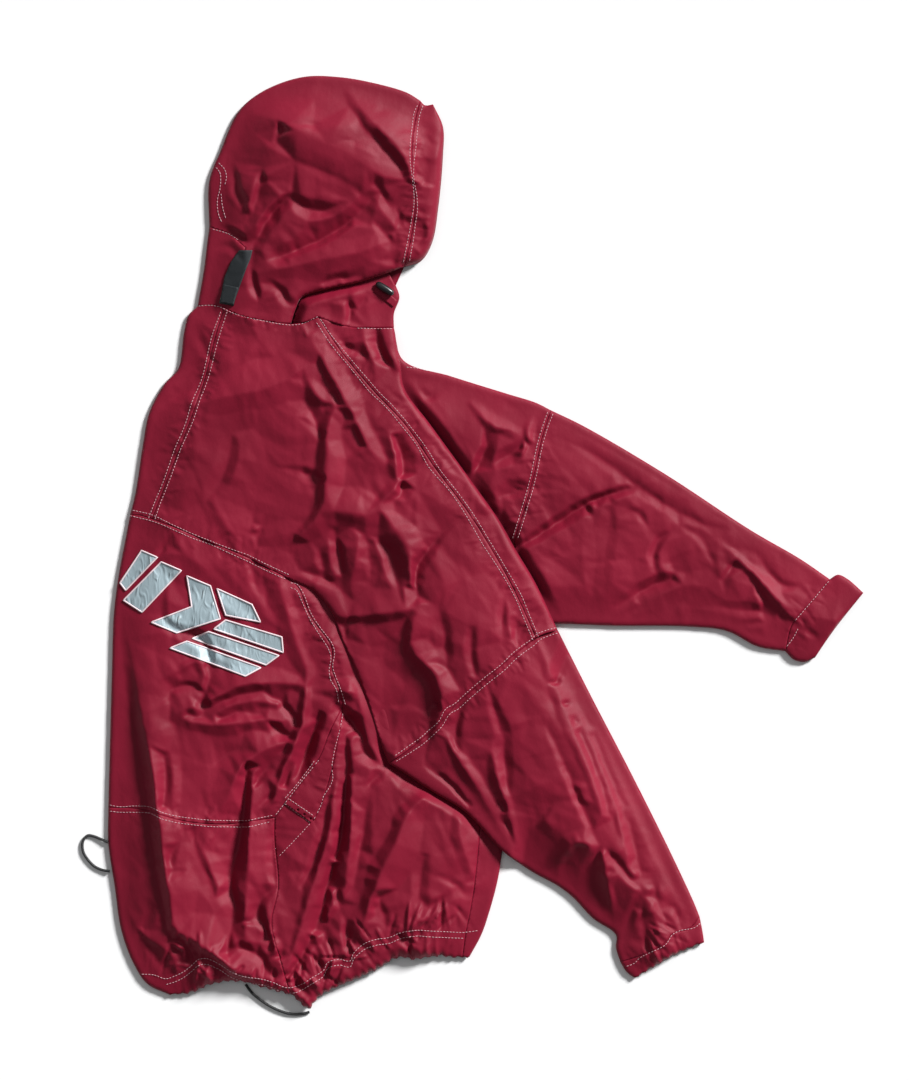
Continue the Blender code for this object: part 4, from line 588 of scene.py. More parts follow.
# ---- sewing: every visible row of stitches, as points x, y -------------------
ROWS = {
    "yoke_upper": [(-387, 34), (-366, 29), (-340, 17), (-320, 8), (-300, 0), (-280, -8), (-260, -15),
        (-240, -25), (-214, -37)],
    "yoke_lower": [(-390, 28), (-362, 21), (-340, 12), (-320, 3), (-300, -4), (-280, -13), (-260, -22),
        (-240, -32), (-215, -43)],
    "centre_left": [(-289, 252), (-299, 224), (-310, 178), (-320, 154), (-328, 128), (-340, 100),
        (-352, 66), (-362, 42), (-369, 24)],
    "centre_right": [(-282, 252), (-292, 220), (-303, 178), (-312, 154), (-320, 130), (-334, 98),
        (-344, 70), (-356, 40), (-362, 22)],
    "neck": [(-315, 258), (-302, 259), (-290, 257), (-280, 252), (-270, 248), (-256, 244), (-240, 241),
        (-224, 238), (-210, 237), (-197, 239), (-189, 243), (-180, 247)],
    "neck_front": [(-140, 233.5), (-120, 233), (-99, 233)],
    "shoulder_left": [(-184, 240), (-174, 224), (-162, 208), (-151, 195), (-138, 179), (-125, 163),
        (-108, 147), (-91, 127), (-74, 105), (-60, 80), (-38, 55), (-21, 30), (-2, -3), (17, -32),
        (33, -60), (44, -86), (54, -110)],
    "shoulder_right": [(-180, 244), (-170, 229), (-155, 210), (-140, 192), (-128, 178), (-115, 163),
        (-100, 148), (-83, 128), (-64, 103), (-49, 79), (-28, 52), (-11, 28), (6, 0), (21, -25), (41, -60),
        (50, -82), (60, -106)],
    "armhole_upper": [(79, -95), (68, -98), (58, -102), (50, -109), (40, -116), (30, -124), (20, -134),
        (0, -150), (-20, -167), (-32, -178), (-42, -184), (-50, -198), (-60, -207), (-70, -216),
        (-80, -223), (-90, -230), (-100, -237)],
    "armhole_lower": [(81, -101), (71, -104), (62, -108), (54, -115), (44, -122), (34, -130), (24, -140),
        (4, -156), (-16, -173), (-28, -184), (-38, -190), (-46, -203), (-56, -213), (-66, -222),
        (-76, -229), (-87, -236), (-97, -242)],
    "side_left": [(-213, -51), (-206, -54), (-200, -66), (-192, -84), (-183, -99), (-170, -120),
        (-168, -129), (-170, -142), (-168, -153), (-162, -163), (-159, -180)],
    "side_right": [(-213, -46), (-206, -47), (-198, -58), (-190, -79), (-179, -96), (-167, -112),
        (-164, -122), (-166, -138), (-163, -148), (-157, -163), (-152, -180)],
    "pocket": [(-155, -189), (-158, -206), (-162, -221), (-165, -234), (-167, -249), (-166, -260),
        (-169, -269), (-176, -280), (-179, -290), (-187, -306)],
    "pocket_back_1": [(-181, -240), (-199, -262), (-218, -287), (-230, -302)],
    "pocket_back_2": [(-186, -241), (-203, -264), (-221, -285)],
    "welt_1": [(-214, -283), (-186, -302)],
    "welt_2": [(-219, -288), (-191, -309)],
    "welt_tail": [(-191, -310), (-201, -321), (-227, -348)],
    "low_upper": [(-412, -290), (-401, -292), (-383, -291), (-366, -292), (-351, -298), (-336, -302),
        (-321, -304), (-304, -306), (-280, -307), (-262, -307), (-247, -304), (-232, -301)],
    "low_lower": [(-412, -297), (-401, -298), (-383, -298), (-366, -299), (-351, -305), (-336, -309),
        (-321, -311), (-304, -313), (-280, -314), (-262, -314), (-247, -311), (-234, -308)],
    "hem_1": [(-377, -476), (-362, -477), (-350, -481), (-340, -478), (-330, -473), (-321, -466),
        (-313, -459), (-304, -458), (-290, -464), (-276, -473), (-262, -478), (-243, -481), (-230, -485),
        (-218, -490), (-206, -489), (-199, -486), (-190, -480), (-176, -471), (-172, -463), (-160, -459),
        (-147, -461), (-143, -452), (-130, -441), (-118, -437), (-104, -435), (-92, -430), (-75, -427),
        (-57, -428), (-40, -429), (-22, -430), (-6, -428)],
    "far_armhole_1": [(70, 142), (65, 128), (60, 112), (56, 95), (52, 75), (47, 55), (41, 35), (35, 15),
        (31, 2)],
    "far_armhole_2": [(76, 140), (71, 128), (66, 112), (62, 95), (58, 75), (53, 55), (47, 35), (41, 15),
        (36, 0)],
    "neck_corner": [(-86, 191), (-74, 190), (-62, 187)],
    "cuff_left_1": [(379, -44), (361, -65), (341, -88)],
    "cuff_left_2": [(345, -96), (340, -106), (332, -117)],
    "cuff_right_1": [(238, -420), (231, -425), (215, -428), (207, -432), (199, -443), (182, -452),
        (171, -458), (165, -464), (155, -468)],
    "brim_1": [(-73, 479), (-77, 470), (-79, 454), (-81, 434), (-81, 416), (-79, 400), (-77, 382),
        (-77, 368), (-80, 350), (-84, 328), (-89, 304)],
    "brim_2": [(-67, 479), (-71, 466), (-73, 452), (-75, 430), (-77, 412), (-77, 396), (-74, 380),
        (-73, 364), (-75, 350), (-78, 328), (-82, 306)],
    "hood_rear_1": [(-292, 416), (-285, 408), (-283, 400), (-285, 390)],
    "hood_rear_2": [(-295, 411), (-290, 404), (-290, 388), (-293, 374), (-292, 360), (-288, 350)],
    "hood_rear_3": [(-289, 382), (-287, 366), (-283, 352)],
    "hood_rear_4": [(-299, 343), (-280, 337), (-268, 329)],
}
ROWS["hem_2"] = [(x, y - 6.5) for x, y in ROWS["hem_1"][2:-1]]
SEAMS = {
    # layer: row of stitches, spacing of the puckers, how far they reach, height
    "cover": [("yoke_upper", 9.0, 13.0, 0.9), ("centre_right", 9.0, 14.0, 1.0), ("centre_left", 9.0, 14.0,
        1.0), ("shoulder_left", 8.0, 13.0, 0.8), ("shoulder_right", 8.0, 13.0, 0.8), ("armhole_upper", 7.5,
        13.0, 0.9), ("armhole_lower", 7.5, 13.0, 0.9), ("neck", 8.0, 12.0, 1.0), ("cuff_right_1", 9.0, 24.0,
        4.5), ("cuff_right_1", 8.0, 20.0, 3.6)],
    "body": [("yoke_lower", 8.0, 14.0, 1.0), ("side_left", 7.5, 12.0, 1.0), ("side_right", 7.5, 12.0, 1.0),
        ("pocket", 8.0, 12.0, 1.0), ("low_upper", 8.0, 13.0, 1.0), ("low_lower", 8.0, 14.0, 1.0), ("hem_1",
        8.0, 26.0, 4.2), ("pocket_back_1", 8.0, 9.0, 0.7)],
    "far": [("far_armhole_1", 8.0, 15.0, 0.9), ("far_armhole_2", 8.0, 15.0, 0.9), ("cuff_left_1", 6.5, 16.0,
        1.6), ("cuff_left_2", 6.5, 14.0, 1.5)],
    "hood": [("brim_1", 8.0, 13.0, 0.9), ("brim_2", 8.0, 13.0, 0.9), ("hood_rear_2", 8.0, 9.0, 0.6)],
}
# The cloth between the stated folds: turn (degrees), length and width of one plane, height.
FILLERS = {
    "cover": (-64.0, 46.0, 24.0, 2.5),
    "body": (-80.0, 48.0, 22.0, 2.8),
    "far": (-30.0, 46.0, 24.0, 2.3),
    "hood": (-28.0, 46.0, 26.0, 2.3),
}
# Finer crinkles all over, by the same four numbers; the finest take their turn from FILLERS.
FINEST = (17.0, 8.5, 0.62)
CRINKLES = {
    "cover": (-30.0, 30.0, 14.0, 1.3),
    "body": (-55.0, 30.0, 13.0, 1.4),
    "far": (-60.0, 30.0, 14.0, 1.2),
    "hood": (25.0, 30.0, 14.0, 1.3),
}


def seam_puckers(rng, heights, line, spacing, reach, height):
    """Small uneven ridges and hollows that cross a sewn line."""
    line = np.array(curve_through(line, 2.0))
    along = np.concatenate([[0.0], np.cumsum(np.linalg.norm(np.diff(line, axis=0), axis=1))])
    at = rng.uniform(0.0, spacing)
    while at < along[-1]:
        x, y = np.interp(at, along, line[:, 0]), np.interp(at, along, line[:, 1])
        dx = np.interp(at + 2.0, along, line[:, 0]) - np.interp(at - 2.0, along, line[:, 0])
        dy = np.interp(at + 2.0, along, line[:, 1]) - np.interp(at - 2.0, along, line[:, 1])
        for side in (-1.0, 1.0):
            angle = math.atan2(dy, dx) + side * math.pi / 2 + rng.normal(0.0, 0.42)
            length = reach * rng.uniform(0.45, 1.5)
            start = rng.uniform(-2.0, 1.0)
            c, s = math.cos(angle), math.sin(angle)
            wide = spacing * rng.uniform(0.16, 0.34)
            add_fold(heights, wide, wide * rng.uniform(0.7, 1.6),
                     height * rng.uniform(0.25, 1.0) * rng.choice([-1.0, 1.0]),
                     [(x + c * start, y + s * start), (x + c * length, y + s * length)])
        at += spacing * rng.uniform(0.5, 1.5)


def wandering(rng, u, v):
    """A smooth random field with about one rise and one hollow in each unit of u and v."""
    u, v = u - u.min(), v - v.min()
    table = rng.uniform(-1.0, 1.0, (int(v.max()) + 3, int(u.max()) + 3))
    i, j = u.astype(int), v.astype(int)
    fu, fv = smooth(0.0, 1.0, u - i), smooth(0.0, 1.0, v - j)
    low = table[j, i] * (1.0 - fu) + table[j, i + 1] * fu
    high = table[j + 1, i] * (1.0 - fu) + table[j + 1, i + 1] * fu
    return low * (1.0 - fv) + high * fv


def facets(rng, u, v):
    """A random field of flat planes that meet in sharp lines, a few in each unit of u and v."""
    u, v = u - u.min(), v - v.min()
    table = rng.uniform(-1.0, 1.0, (int(v.max()) + 3, int(u.max()) + 3))
    turned = rng.random(table.shape) < 0.5
    i, j = u.astype(int), v.astype(int)
    fu, fv = u - i, v - j
    p, q, r, t = table[j, i], table[j, i + 1], table[j + 1, i + 1], table[j + 1, i]
    one = np.where(fu > fv, p + fu * (q - p) + fv * (r - q), p + fv * (t - p) + fu * (r - t))
    two = np.where(fu + fv < 1.0, p + fu * (q - p) + fv * (t - p),
                   r + (1.0 - fu) * (t - r) + (1.0 - fv) * (q - r))
    return np.where(turned[j, i], one, two)


def crinkled(rng, turn, along, across, height):
    """Flat planes and sharp lines between them, wandering about one direction."""
    x, y = np.meshgrid(MAP_X, MAP_Y)
    c, s = math.cos(math.radians(turn)), math.sin(math.radians(turn))
    u, v = (x * c + y * s) / along, (y * c - x * s) / across
    u = u + 0.6 * wandering(rng, u * 0.6, v * 0.4)
    v = v + 1.1 * wandering(rng, u * 0.5, v * 0.3)
    strength = smooth(-0.7, 0.7, wandering(rng, x / 90.0, y / 90.0))
    return height * (0.35 + 0.65 * strength) * facets(rng, u, v)


def softened(heights, times):
    """The map with its sharpest lines rounded off."""
    for _ in range(times):
        wide = np.pad(heights, 1, mode="edge")
        heights = (wide[1:-1, :-2] + wide[1:-1, 2:] + wide[:-2, 1:-1] + wide[2:, 1:-1]
                   + 2.0 * heights) / 6.0
    return heights


def crest_spots(rng, rows):
    """Points on the crests and in the troughs, and level points where their flanks end."""
    crests, ends, lines = [], [], []
    for left, right, height, points in rows:
        step = min(CREST_STEP, max(LEAST_STEP, STEP_SHARE * min(left, right)))
        line = np.array(curve_through(points, step))
        lines.append(line)
        along = np.gradient(line, axis=0)
        along /= np.linalg.norm(along, axis=1)[:, None]
        across = along @ np.array([(0.0, 1.0), (-1.0, 0.0)])
        share = np.linspace(0.0, 1.0, len(line))
        middle = np.sin(math.pi * share)
        rise = height * FOLD_GAIN * (0.4 + 0.6 * middle) * rng.uniform(0.92, 1.08, len(line))
        crests.append(np.column_stack([line + rng.normal(0.0, 0.5, line.shape), rise]))
        for side, width in ((1.0, left), (-1.0, right)):
            reach = side * width * FLANK * (0.6 + 0.4 * middle) * rng.uniform(0.85, 1.2, len(line))
            places = line + across * reach[:, None] + along * rng.normal(0.0, 2.5, (len(line), 1))
            ends.append(np.column_stack([places, rng.normal(0.0, 0.5, len(line)),
                                         np.full(len(line), 0.7 * width)]))
    return np.vstack(crests), np.vstack(ends), lines


def filler_spots(rng, turn, along, across, height):
    """Uneven rises and hollows for the cloth between the stated folds."""
    c, s = math.cos(math.radians(turn)), math.sin(math.radians(turn))
    u, v = np.meshgrid(np.arange(-FILLER_REACH, FILLER_REACH, along),
                       np.arange(-FILLER_REACH, FILLER_REACH, across))
    odd_rows = (np.arange(u.shape[0]) % 2)[:, None]
    u = (u + odd_rows * along / 2 + rng.uniform(-0.4, 0.4, u.shape) * along).ravel()
    v = (v + rng.uniform(-0.4, 0.4, v.shape) * across).ravel()
    spots = np.column_stack([u * c - v * s, u * s + v * c, rng.uniform(-1.0, 1.0, len(u)) * height])
    keep = ((spots[:, 0] > MAP_X[0]) & (spots[:, 0] < MAP_X[-1])
            & (spots[:, 1] > MAP_Y[0]) & (spots[:, 1] < MAP_Y[-1]))
    return spots[keep]


def thinned(kept, spots, apart):
    """The kept points, and those of the others that stay clear of them and of each other."""
    all_spots = np.vstack([kept, spots])
    count = len(kept)
    for spot, gap in zip(spots, apart):
        if np.hypot(*(all_spots[:count, :2] - spot[:2]).T).min() > gap:
            all_spots[count] = spot
            count += 1
    return all_spots[:count]


def faceted(rng, rows, filler):
    """A map of flat planes between all those points, with a sharp line wherever two meet."""
    crests, ends, lines = crest_spots(rng, rows)
    ends = ends[distance_to(lines, ends[:, :2]) > np.maximum(FLANK_CLEAR * ends[:, 3], LEAST_CLEAR)]
    spots = thinned(crests[:1], crests[1:], np.full(len(crests) - 1, CREST_APART))
    spots = thinned(spots, ends[:, :3], np.maximum(ends[:, 3], FLANK_APART))
    extra = filler_spots(rng, *filler)
    extra = extra[distance_to(lines, extra[:, :2]) > FILLER_CLEAR]
    spots = thinned(spots, extra, np.full(len(extra), FILLER_APART))
    x0, x1 = MAP_X[0] - MAP_MARGIN, MAP_X[-1] + MAP_MARGIN
    y0, y1 = MAP_Y[0] - MAP_MARGIN, MAP_Y[-1] + MAP_MARGIN
    spots = np.vstack([spots, [(x0, y0, 0.0), (x1, y0, 0.0), (x1, y1, 0.0), (x0, y1, 0.0)]])
    made = delaunay_2d_cdt([Vector(p) for p in spots[:, :2]], [], [], 0, 1e-4)
    heights = np.zeros((len(MAP_Y), len(MAP_X)))
    for face in made[2]:
        (ax, ay, az), (bx, by, bz), (cx, cy, cz) = (spots[made[3][i][0]] for i in face)
        i0, i1 = np.searchsorted(MAP_X, [min(ax, bx, cx), max(ax, bx, cx)])
        j0, j1 = np.searchsorted(MAP_Y, [min(ay, by, cy), max(ay, by, cy)])
        x, y = np.meshgrid(MAP_X[i0:i1], MAP_Y[j0:j1])
        area = (bx - ax) * (cy - ay) - (cx - ax) * (by - ay)
        s = ((x - ax) * (cy - ay) - (cx - ax) * (y - ay)) / area
        t = ((bx - ax) * (y - ay) - (x - ax) * (by - ay)) / area
        within = (s >= 0.0) & (t >= 0.0) & (s + t <= 1.0)
        part = heights[j0:j1, i0:i1]
        part[within] = (az + s * (bz - az) + t * (cz - az))[within]
    return heights


def build_maps():
    rng = np.random.default_rng(41)
    maps = {}
    for layer, rows in FOLDS.items():
        heights = faceted(rng, rows, FILLERS[layer])
        heights += crinkled(rng, *CRINKLES[layer])
        finest = crinkled(rng, FILLERS[layer][0], *FINEST)
        maps[layer] = softened(heights, 2) + softened(finest, 1)
    for layer, seams in SEAMS.items():
        for row, spacing, reach, height in seams:
            seam_puckers(rng, maps[layer], ROWS[row], spacing, reach, height)
    return maps


# ---- heights --------------------------------------------------------------
MAPS = build_maps()


def open_cloth(layer, xy):
    """Height of the upper side before edges: broad mounds, and the folds of its layer."""
    x, y = xy[:, 0], xy[:, 1]
    z = np.full(len(xy), PUFF)
    for cx, cy, along, across, turn, height in MOUNDS:
        c, s = math.cos(math.radians(turn)), math.sin(math.radians(turn))
        u = ((x - cx) * c + (y - cy) * s) / along
        v = ((y - cy) * c - (x - cx) * s) / across
        z += height * np.exp(-(u * u + v * v))
    z = z + sample(MAPS[layer], xy)
    over = np.maximum(z - CALM_LEVEL, 0.0)
    return np.minimum(z, CALM_LEVEL) + SPARE * np.tanh(over / SPARE)


COVER = chain(["shoulder_seam", "armhole_right_tail", "sleeve_right_outer", "sleeve_right_cuff",
               "sleeve_right_inner", "flap_side", "-yoke_right", "-centre_back", "neck_rear_right",
               "neck_side"])
NEAR_SHOULDER = chain(["neck_front", "flap_front", "-armhole_right_tail", "-shoulder_seam"])
HOOD_COVER = chain(["hood_roll", "brim_seam", "-hood_crown", "hood_seam_rear", "hood_seam_strap",
                    "neck_rear_right"])


BODY_PLAN = chain(["back_fold_top", "back_fold_middle", "back_fold_low", "hem_back", "hem_front",
                   "hem_centre", "front_fold", "floor_underarm", "-shoulder_seam", "-neck_side",
                   "-neck_rear_right", "-neck_rear_left"])


def depth_under(xy):
    """How far each point lies in under the upper sheet; negative outside it."""
    edges = ["flap_side", "sleeve_right_inner", "sleeve_right_outer", "flap_front"]
    covered = inside(COVER, xy) | inside(NEAR_SHOULDER, xy)
    return np.where(covered, 1.0, -1.0) * distance_to(edges, xy)


def yoke_side(xy):
    """1 along the yoke's side over the body, 0 away from it and towards the sleeve."""
    return (smooth(SIDE_FAR, SIDE_NEAR, distance_to(["flap_side"], xy))
            * smooth(SLEEVE_NEAR, SLEEVE_FAR, distance_to(["sleeve_right_inner"], xy)))


def rim(z, base, xy, folds=(), mouths=(), flaps=(), lift=0.0):
    """Bring the height down at rounded folds, open edges and free edges."""
    if folds:
        edge = base + FOLD_MIDDLE
        away = distance_to(folds, xy, FOLD_REACH)
        near = np.minimum(1.0, (base + FOLD_LEVEL - edge) / np.maximum(z - edge, 1.0))
        near = near + (1.0 - near) * smooth(0.0, FOLD_REACH, away)
        z = edge + (z - edge) * near * quarter_round(away / FOLD_RADIUS)
    if mouths:
        edge = base + MOUTH_EDGE
        z = edge + (z - edge) * quarter_round(distance_to(mouths, xy) / MOUTH_RADIUS)
    if flaps:
        edge = FLAP_EDGE + lift
        z = edge + (z - edge) * quarter_round(distance_to(flaps, xy) / FLAP_RADIUS)
    spare = z - base - LOWEST
    return base + LOWEST + 0.5 * (spare + np.sqrt(spare * spare + 1.0))


def body_top(xy):
    z = open_cloth("body", xy)
    hidden = smooth(TUCK_START, TUCK_END, depth_under(xy))
    level = HIDDEN_LEVEL + (TUCKED_LEVEL - HIDDEN_LEVEL) * yoke_side(xy)
    level = level + HOLLOW_SHARE * np.minimum(sample(MAPS["body"], xy), 0.0)
    z = z + (level - z) * hidden
    return rim(z, 0.0, xy, folds=("back_fold_top", "back_fold_middle", "back_fold_low", "front_fold"),
               mouths=("hem_back", "hem_front", "hem_centre"))


def yoke_top(xy):
    return rim(open_cloth("cover", xy), 0.0, xy, folds=("back_fold_top",), flaps=("flap_side", "flap_front"),
               lift=YOKE_LIFT * yoke_side(xy))


def far_top(xy):
    z = open_cloth("far", xy) - FAR_DROP
    z = z + (HIDDEN_LEVEL - z) * smooth(TUCK_START, TUCK_END, depth_under(xy))
    return rim(z, 0.0, xy, folds=("far_shoulder", "sleeve_left_outer", "sleeve_left_inner",
                                  "cuff_left_outer", "cuff_left_inner"),
               mouths=("cuff_left_mouth",))


def sleeve_rest(xy):
    """Floor side of the near sleeve: up on the body, down on the surface beyond it."""
    depth = np.where(inside(BODY_PLAN, xy), 1.0, -1.0) * distance_to(["front_fold"], xy)
    return SLEEVE_REST * smooth(REST_START, REST_END, depth)


def near_sleeve_top(xy):
    return rim(open_cloth("cover", xy), sleeve_rest(xy), xy,
               folds=("sleeve_right_outer", "sleeve_right_inner", "cuff_right_outer", "cuff_right_inner"),
               mouths=("cuff_right_mouth",))


def hood_top(xy):
    return rim(open_cloth("hood", xy), 0.0, xy, folds=("hood_rear_edge", "hood_crown", "brim_crown"),
               mouths=("brim_mouth",), flaps=("hood_roll",))


def collar_top(xy):
    z = open_cloth("hood", xy)
    depth = np.where(inside(HOOD_COVER, xy), 1.0, -1.0) * distance_to(["hood_roll"], xy)
    z = z + (HIDDEN_LEVEL - z) * smooth(TUCK_START, TUCK_END, depth)
    return rim(z, 0.0, xy, folds=("collar_front",))


def floor(xy):
    """Floor side of everything that lies on the surface."""
    return np.zeros(len(xy))


# ---- materials --------------------------------------------------------------
def new_material(name, base, roughness, metallic=0.0, sheen=0.0, specular=0.5):
    material = bpy.data.materials.new(name)
    material.use_nodes = True
    shader = material.node_tree.nodes["Principled BSDF"]
    shader.inputs["Base Color"].default_value = (*base, 1.0)
    shader.inputs["Roughness"].default_value = roughness
    shader.inputs["Metallic"].default_value = metallic
    shader.inputs["Sheen Weight"].default_value = sheen
    shader.inputs["Specular IOR Level"].default_value = specular
    return material, material.node_tree.nodes, material.node_tree.links, shader


def add_node(nodes, kind, **values):
    node = nodes.new(kind)
    for key, value in values.items():
        if key in node.inputs:
            node.inputs[key].default_value = value
        else:
            setattr(node, key, value)
    return node


def place_of(nodes, links, scale, turn=0.0):
    """Positions on the cloth in metres, times a scale."""
    place = add_node(nodes, "ShaderNodeTexCoord")
    mapping = add_node(nodes, "ShaderNodeMapping")
    mapping.inputs["Scale"].default_value = scale
    mapping.inputs["Rotation"].default_value = (0.0, 0.0, turn)
    links.new(place.outputs["Object"], mapping.inputs["Vector"])
    return mapping.outputs["Vector"]


def ramp_from(nodes, links, source, shader, low, dark, high, light):
    """Colour that follows a pattern, from dark at its low value to light at its high one."""
    ramp = add_node(nodes, "ShaderNodeValToRGB")
    for element, position, colour in zip(ramp.color_ramp.elements, (low, high), (dark, light)):
        element.position = position
        element.color = (*colour, 1.0)
    links.new(source, ramp.inputs["Fac"])
    links.new(ramp.outputs["Color"], shader.inputs["Base Color"])


def bump_from(nodes, links, source, shader, strength, distance, before=None):
    """Relief from a pattern, over the relief of another bump node if there is one."""
    bump = add_node(nodes, "ShaderNodeBump", Strength=strength, Distance=distance)
    links.new(source, bump.inputs["Height"])
    if before:
        links.new(before.outputs["Normal"], bump.inputs["Normal"])
    links.new(bump.outputs["Normal"], shader.inputs["Normal"])
    return bump


def nylon_material():
    """Thin woven nylon: fine weave, papery crinkles, uneven dye and sheen."""
    material, nodes, links, shader = new_material("nylon_red_cloth", (0.30, 0.022, 0.042), 0.55,
                                                  sheen=0.05, specular=0.20)
    shader.inputs["Sheen Roughness"].default_value = 0.4
    shader.inputs["Sheen Tint"].default_value = (1.0, 0.55, 0.62, 1.0)
    broad = add_node(nodes, "ShaderNodeTexNoise", Scale=1.0, Detail=3.0, Roughness=0.55)
    links.new(place_of(nodes, links, (9.0, 9.0, 9.0)), broad.inputs["Vector"])
    ramp_from(nodes, links, broad.outputs["Fac"], shader, 0.30, (0.176, 0.0036, 0.0185),
              0.72, (0.236, 0.0056, 0.0258))
    rough = add_node(nodes, "ShaderNodeMapRange")
    rough.inputs["To Min"].default_value = 0.50
    rough.inputs["To Max"].default_value = 0.62
    links.new(broad.outputs["Fac"], rough.inputs["Value"])
    links.new(rough.outputs["Result"], shader.inputs["Roughness"])
    crinkle = add_node(nodes, "ShaderNodeTexNoise", noise_type="RIDGED_MULTIFRACTAL", Scale=1.0, Detail=3.0,
                       Roughness=0.5, Distortion=0.6)
    links.new(place_of(nodes, links, (34.0, 16.0, 20.0), 0.35), crinkle.inputs["Vector"])
    fine = add_node(nodes, "ShaderNodeTexNoise", Scale=1.0, Detail=2.0, Roughness=0.5)
    links.new(place_of(nodes, links, (160.0, 120.0, 120.0), -0.5), fine.inputs["Vector"])
    weave = add_node(nodes, "ShaderNodeMath", operation="MULTIPLY")
    for side, direction in enumerate("XY"):
        threads = add_node(nodes, "ShaderNodeTexWave", Scale=1.0, wave_type="BANDS",
                           bands_direction=direction)
        links.new(place_of(nodes, links, (560.0, 560.0, 560.0), 0.12), threads.inputs["Vector"])
        links.new(threads.outputs["Fac"], weave.inputs[side])
    bump = None
    for source, strength, distance in ((crinkle.outputs["Fac"], 0.5, 0.0017),
                                       (fine.outputs["Fac"], 0.35, 0.0007),
                                       (weave.outputs["Value"], 0.35, 0.00008)):
        bump = bump_from(nodes, links, source, shader, strength, distance, bump)
    return material


def inset_loop(names, kept):
    """The closed outline of a piece, moved in by half a seam gap except along kept lines."""
    points, kinds = [], []
    for name in names:
        line = LINES[name.lstrip("-")]
        line = line[:0:-1] if name.startswith("-") else line[:-1]
        points.extend(line)
        kinds.extend([name.lstrip("-")] * len(line))
    loop = np.array(points)
    area = 0.5 * np.sum(loop[:, 0] * np.roll(loop[:, 1], -1) - loop[:, 1] * np.roll(loop[:, 0], -1))
    if area < 0:
        loop = loop[::-1]
        kinds = kinds[::-1][1:] + kinds[::-1][:1]
    out = []
    for i, p in enumerate(loop):
        before, after = loop[i - 1], loop[(i + 1) % len(loop)]
        e0, e1 = p - before, after - p
        n0 = np.array([-e0[1], e0[0]]) / np.linalg.norm(e0)
        n1 = np.array([-e1[1], e1[0]]) / np.linalg.norm(e1)
        w0 = 0.0 if kinds[i - 1] in kept else SEAM_GAP / 2
        w1 = 0.0 if kinds[i] in kept else SEAM_GAP / 2
        out.append(p + 0.5 * (n0 + n1) * max(w0, w1))
    return np.array(out), kinds


def fill(loop, step):
    """Triangles over the plan inside a loop."""
    low, high = loop.min(axis=0), loop.max(axis=0)
    rows = []
    for i, y in enumerate(np.arange(low[1] + step / 2, high[1], step * 0.866)):
        x = np.arange(low[0] + step * (0.5 if i % 2 else 1.0), high[0], step)
        rows.append(np.column_stack([x, np.full(len(x), y)]))
    points = loop
    if rows:
        grid = np.vstack(rows)
        grid = grid[inside(loop, grid)]
        closed = np.vstack([loop, loop[:1]])
        grid = grid[distance_to([closed], grid, step) > 0.5 * step]
        points = np.vstack([loop, grid])
    count = len(loop)
    result = delaunay_2d_cdt([Vector(p) for p in points], [], [list(range(count))], 1, 1e-4)
    faces, origins = result[2], result[3]
    order = [o[0] for o in origins]
    return points, np.array([[order[v] for v in face] for face in faces])


def vertex_normals(points, faces):
    a, b, c = points[faces[:, 0]], points[faces[:, 1]], points[faces[:, 2]]
    face_normals = np.cross(b - a, c - a)
    normals = np.zeros_like(points)
    for k in range(3):
        np.add.at(normals, faces[:, k], face_normals)
    return normals / np.maximum(np.linalg.norm(normals, axis=1), 1e-12)[:, None]


def thicken(points, faces, thick):
    """A closed shell: the surface, a copy of it moved inwards, and walls along its open edges."""
    count = len(points)
    inner = points - vertex_normals(points, faces) * thick
    pairs = np.vstack([faces[:, [0, 1]], faces[:, [1, 2]], faces[:, [2, 0]]])
    keys = pairs[:, 0] * count + pairs[:, 1]
    back = pairs[:, 1] * count + pairs[:, 0]
    a, b = pairs[~np.isin(keys, back)].T
    walls = np.vstack([np.column_stack([b, a, a + count]), np.column_stack([b, a + count, b + count])])
    return np.vstack([points, inner]), np.vstack([faces, faces[:, ::-1] + count, walls])


def make_object(name, points, faces, material):
    """A smooth-shaded mesh object from points in millimetres."""
    mesh = bpy.data.meshes.new(name)
    mesh.vertices.add(len(points))
    mesh.vertices.foreach_set("co", (np.asarray(points, np.float64) * MM).astype(np.float32).ravel())
    faces = np.asarray(faces, np.int32)
    mesh.loops.add(faces.size)
    mesh.loops.foreach_set("vertex_index", faces.ravel())
    mesh.polygons.add(len(faces))
    mesh.polygons.foreach_set("loop_start", np.arange(len(faces), dtype=np.int32) * 3)
    mesh.polygons.foreach_set("use_smooth", np.ones(len(faces), bool))
    mesh.update(calc_edges=True)
    mesh.validate()
    mesh.materials.append(material)
    obj = bpy.data.objects.new(name, mesh)
    bpy.context.scene.collection.objects.link(obj)
    return obj


def smallest_rectangle(loop):
    """Sides, in metres, of the smallest rectangle that a plan outline fits in."""
    best = None
    for turn in np.radians(np.arange(0.0, 90.0, 3.0)):
        c, s = math.cos(turn), math.sin(turn)
        turned = loop @ np.array([[c, -s], [s, c]])
        width, depth = np.ptp(turned, axis=0) * MM
        if best is None or width * depth < best[0] * best[1]:
            best = (width, depth)
    return best


def add_tree(points, faces):
    """Lets stitches and trims find this surface."""
    corners = [tuple(map(int, face)) for face in faces]
    TREES.append(BVHTree.FromPolygons([tuple(p) for p in points], corners))


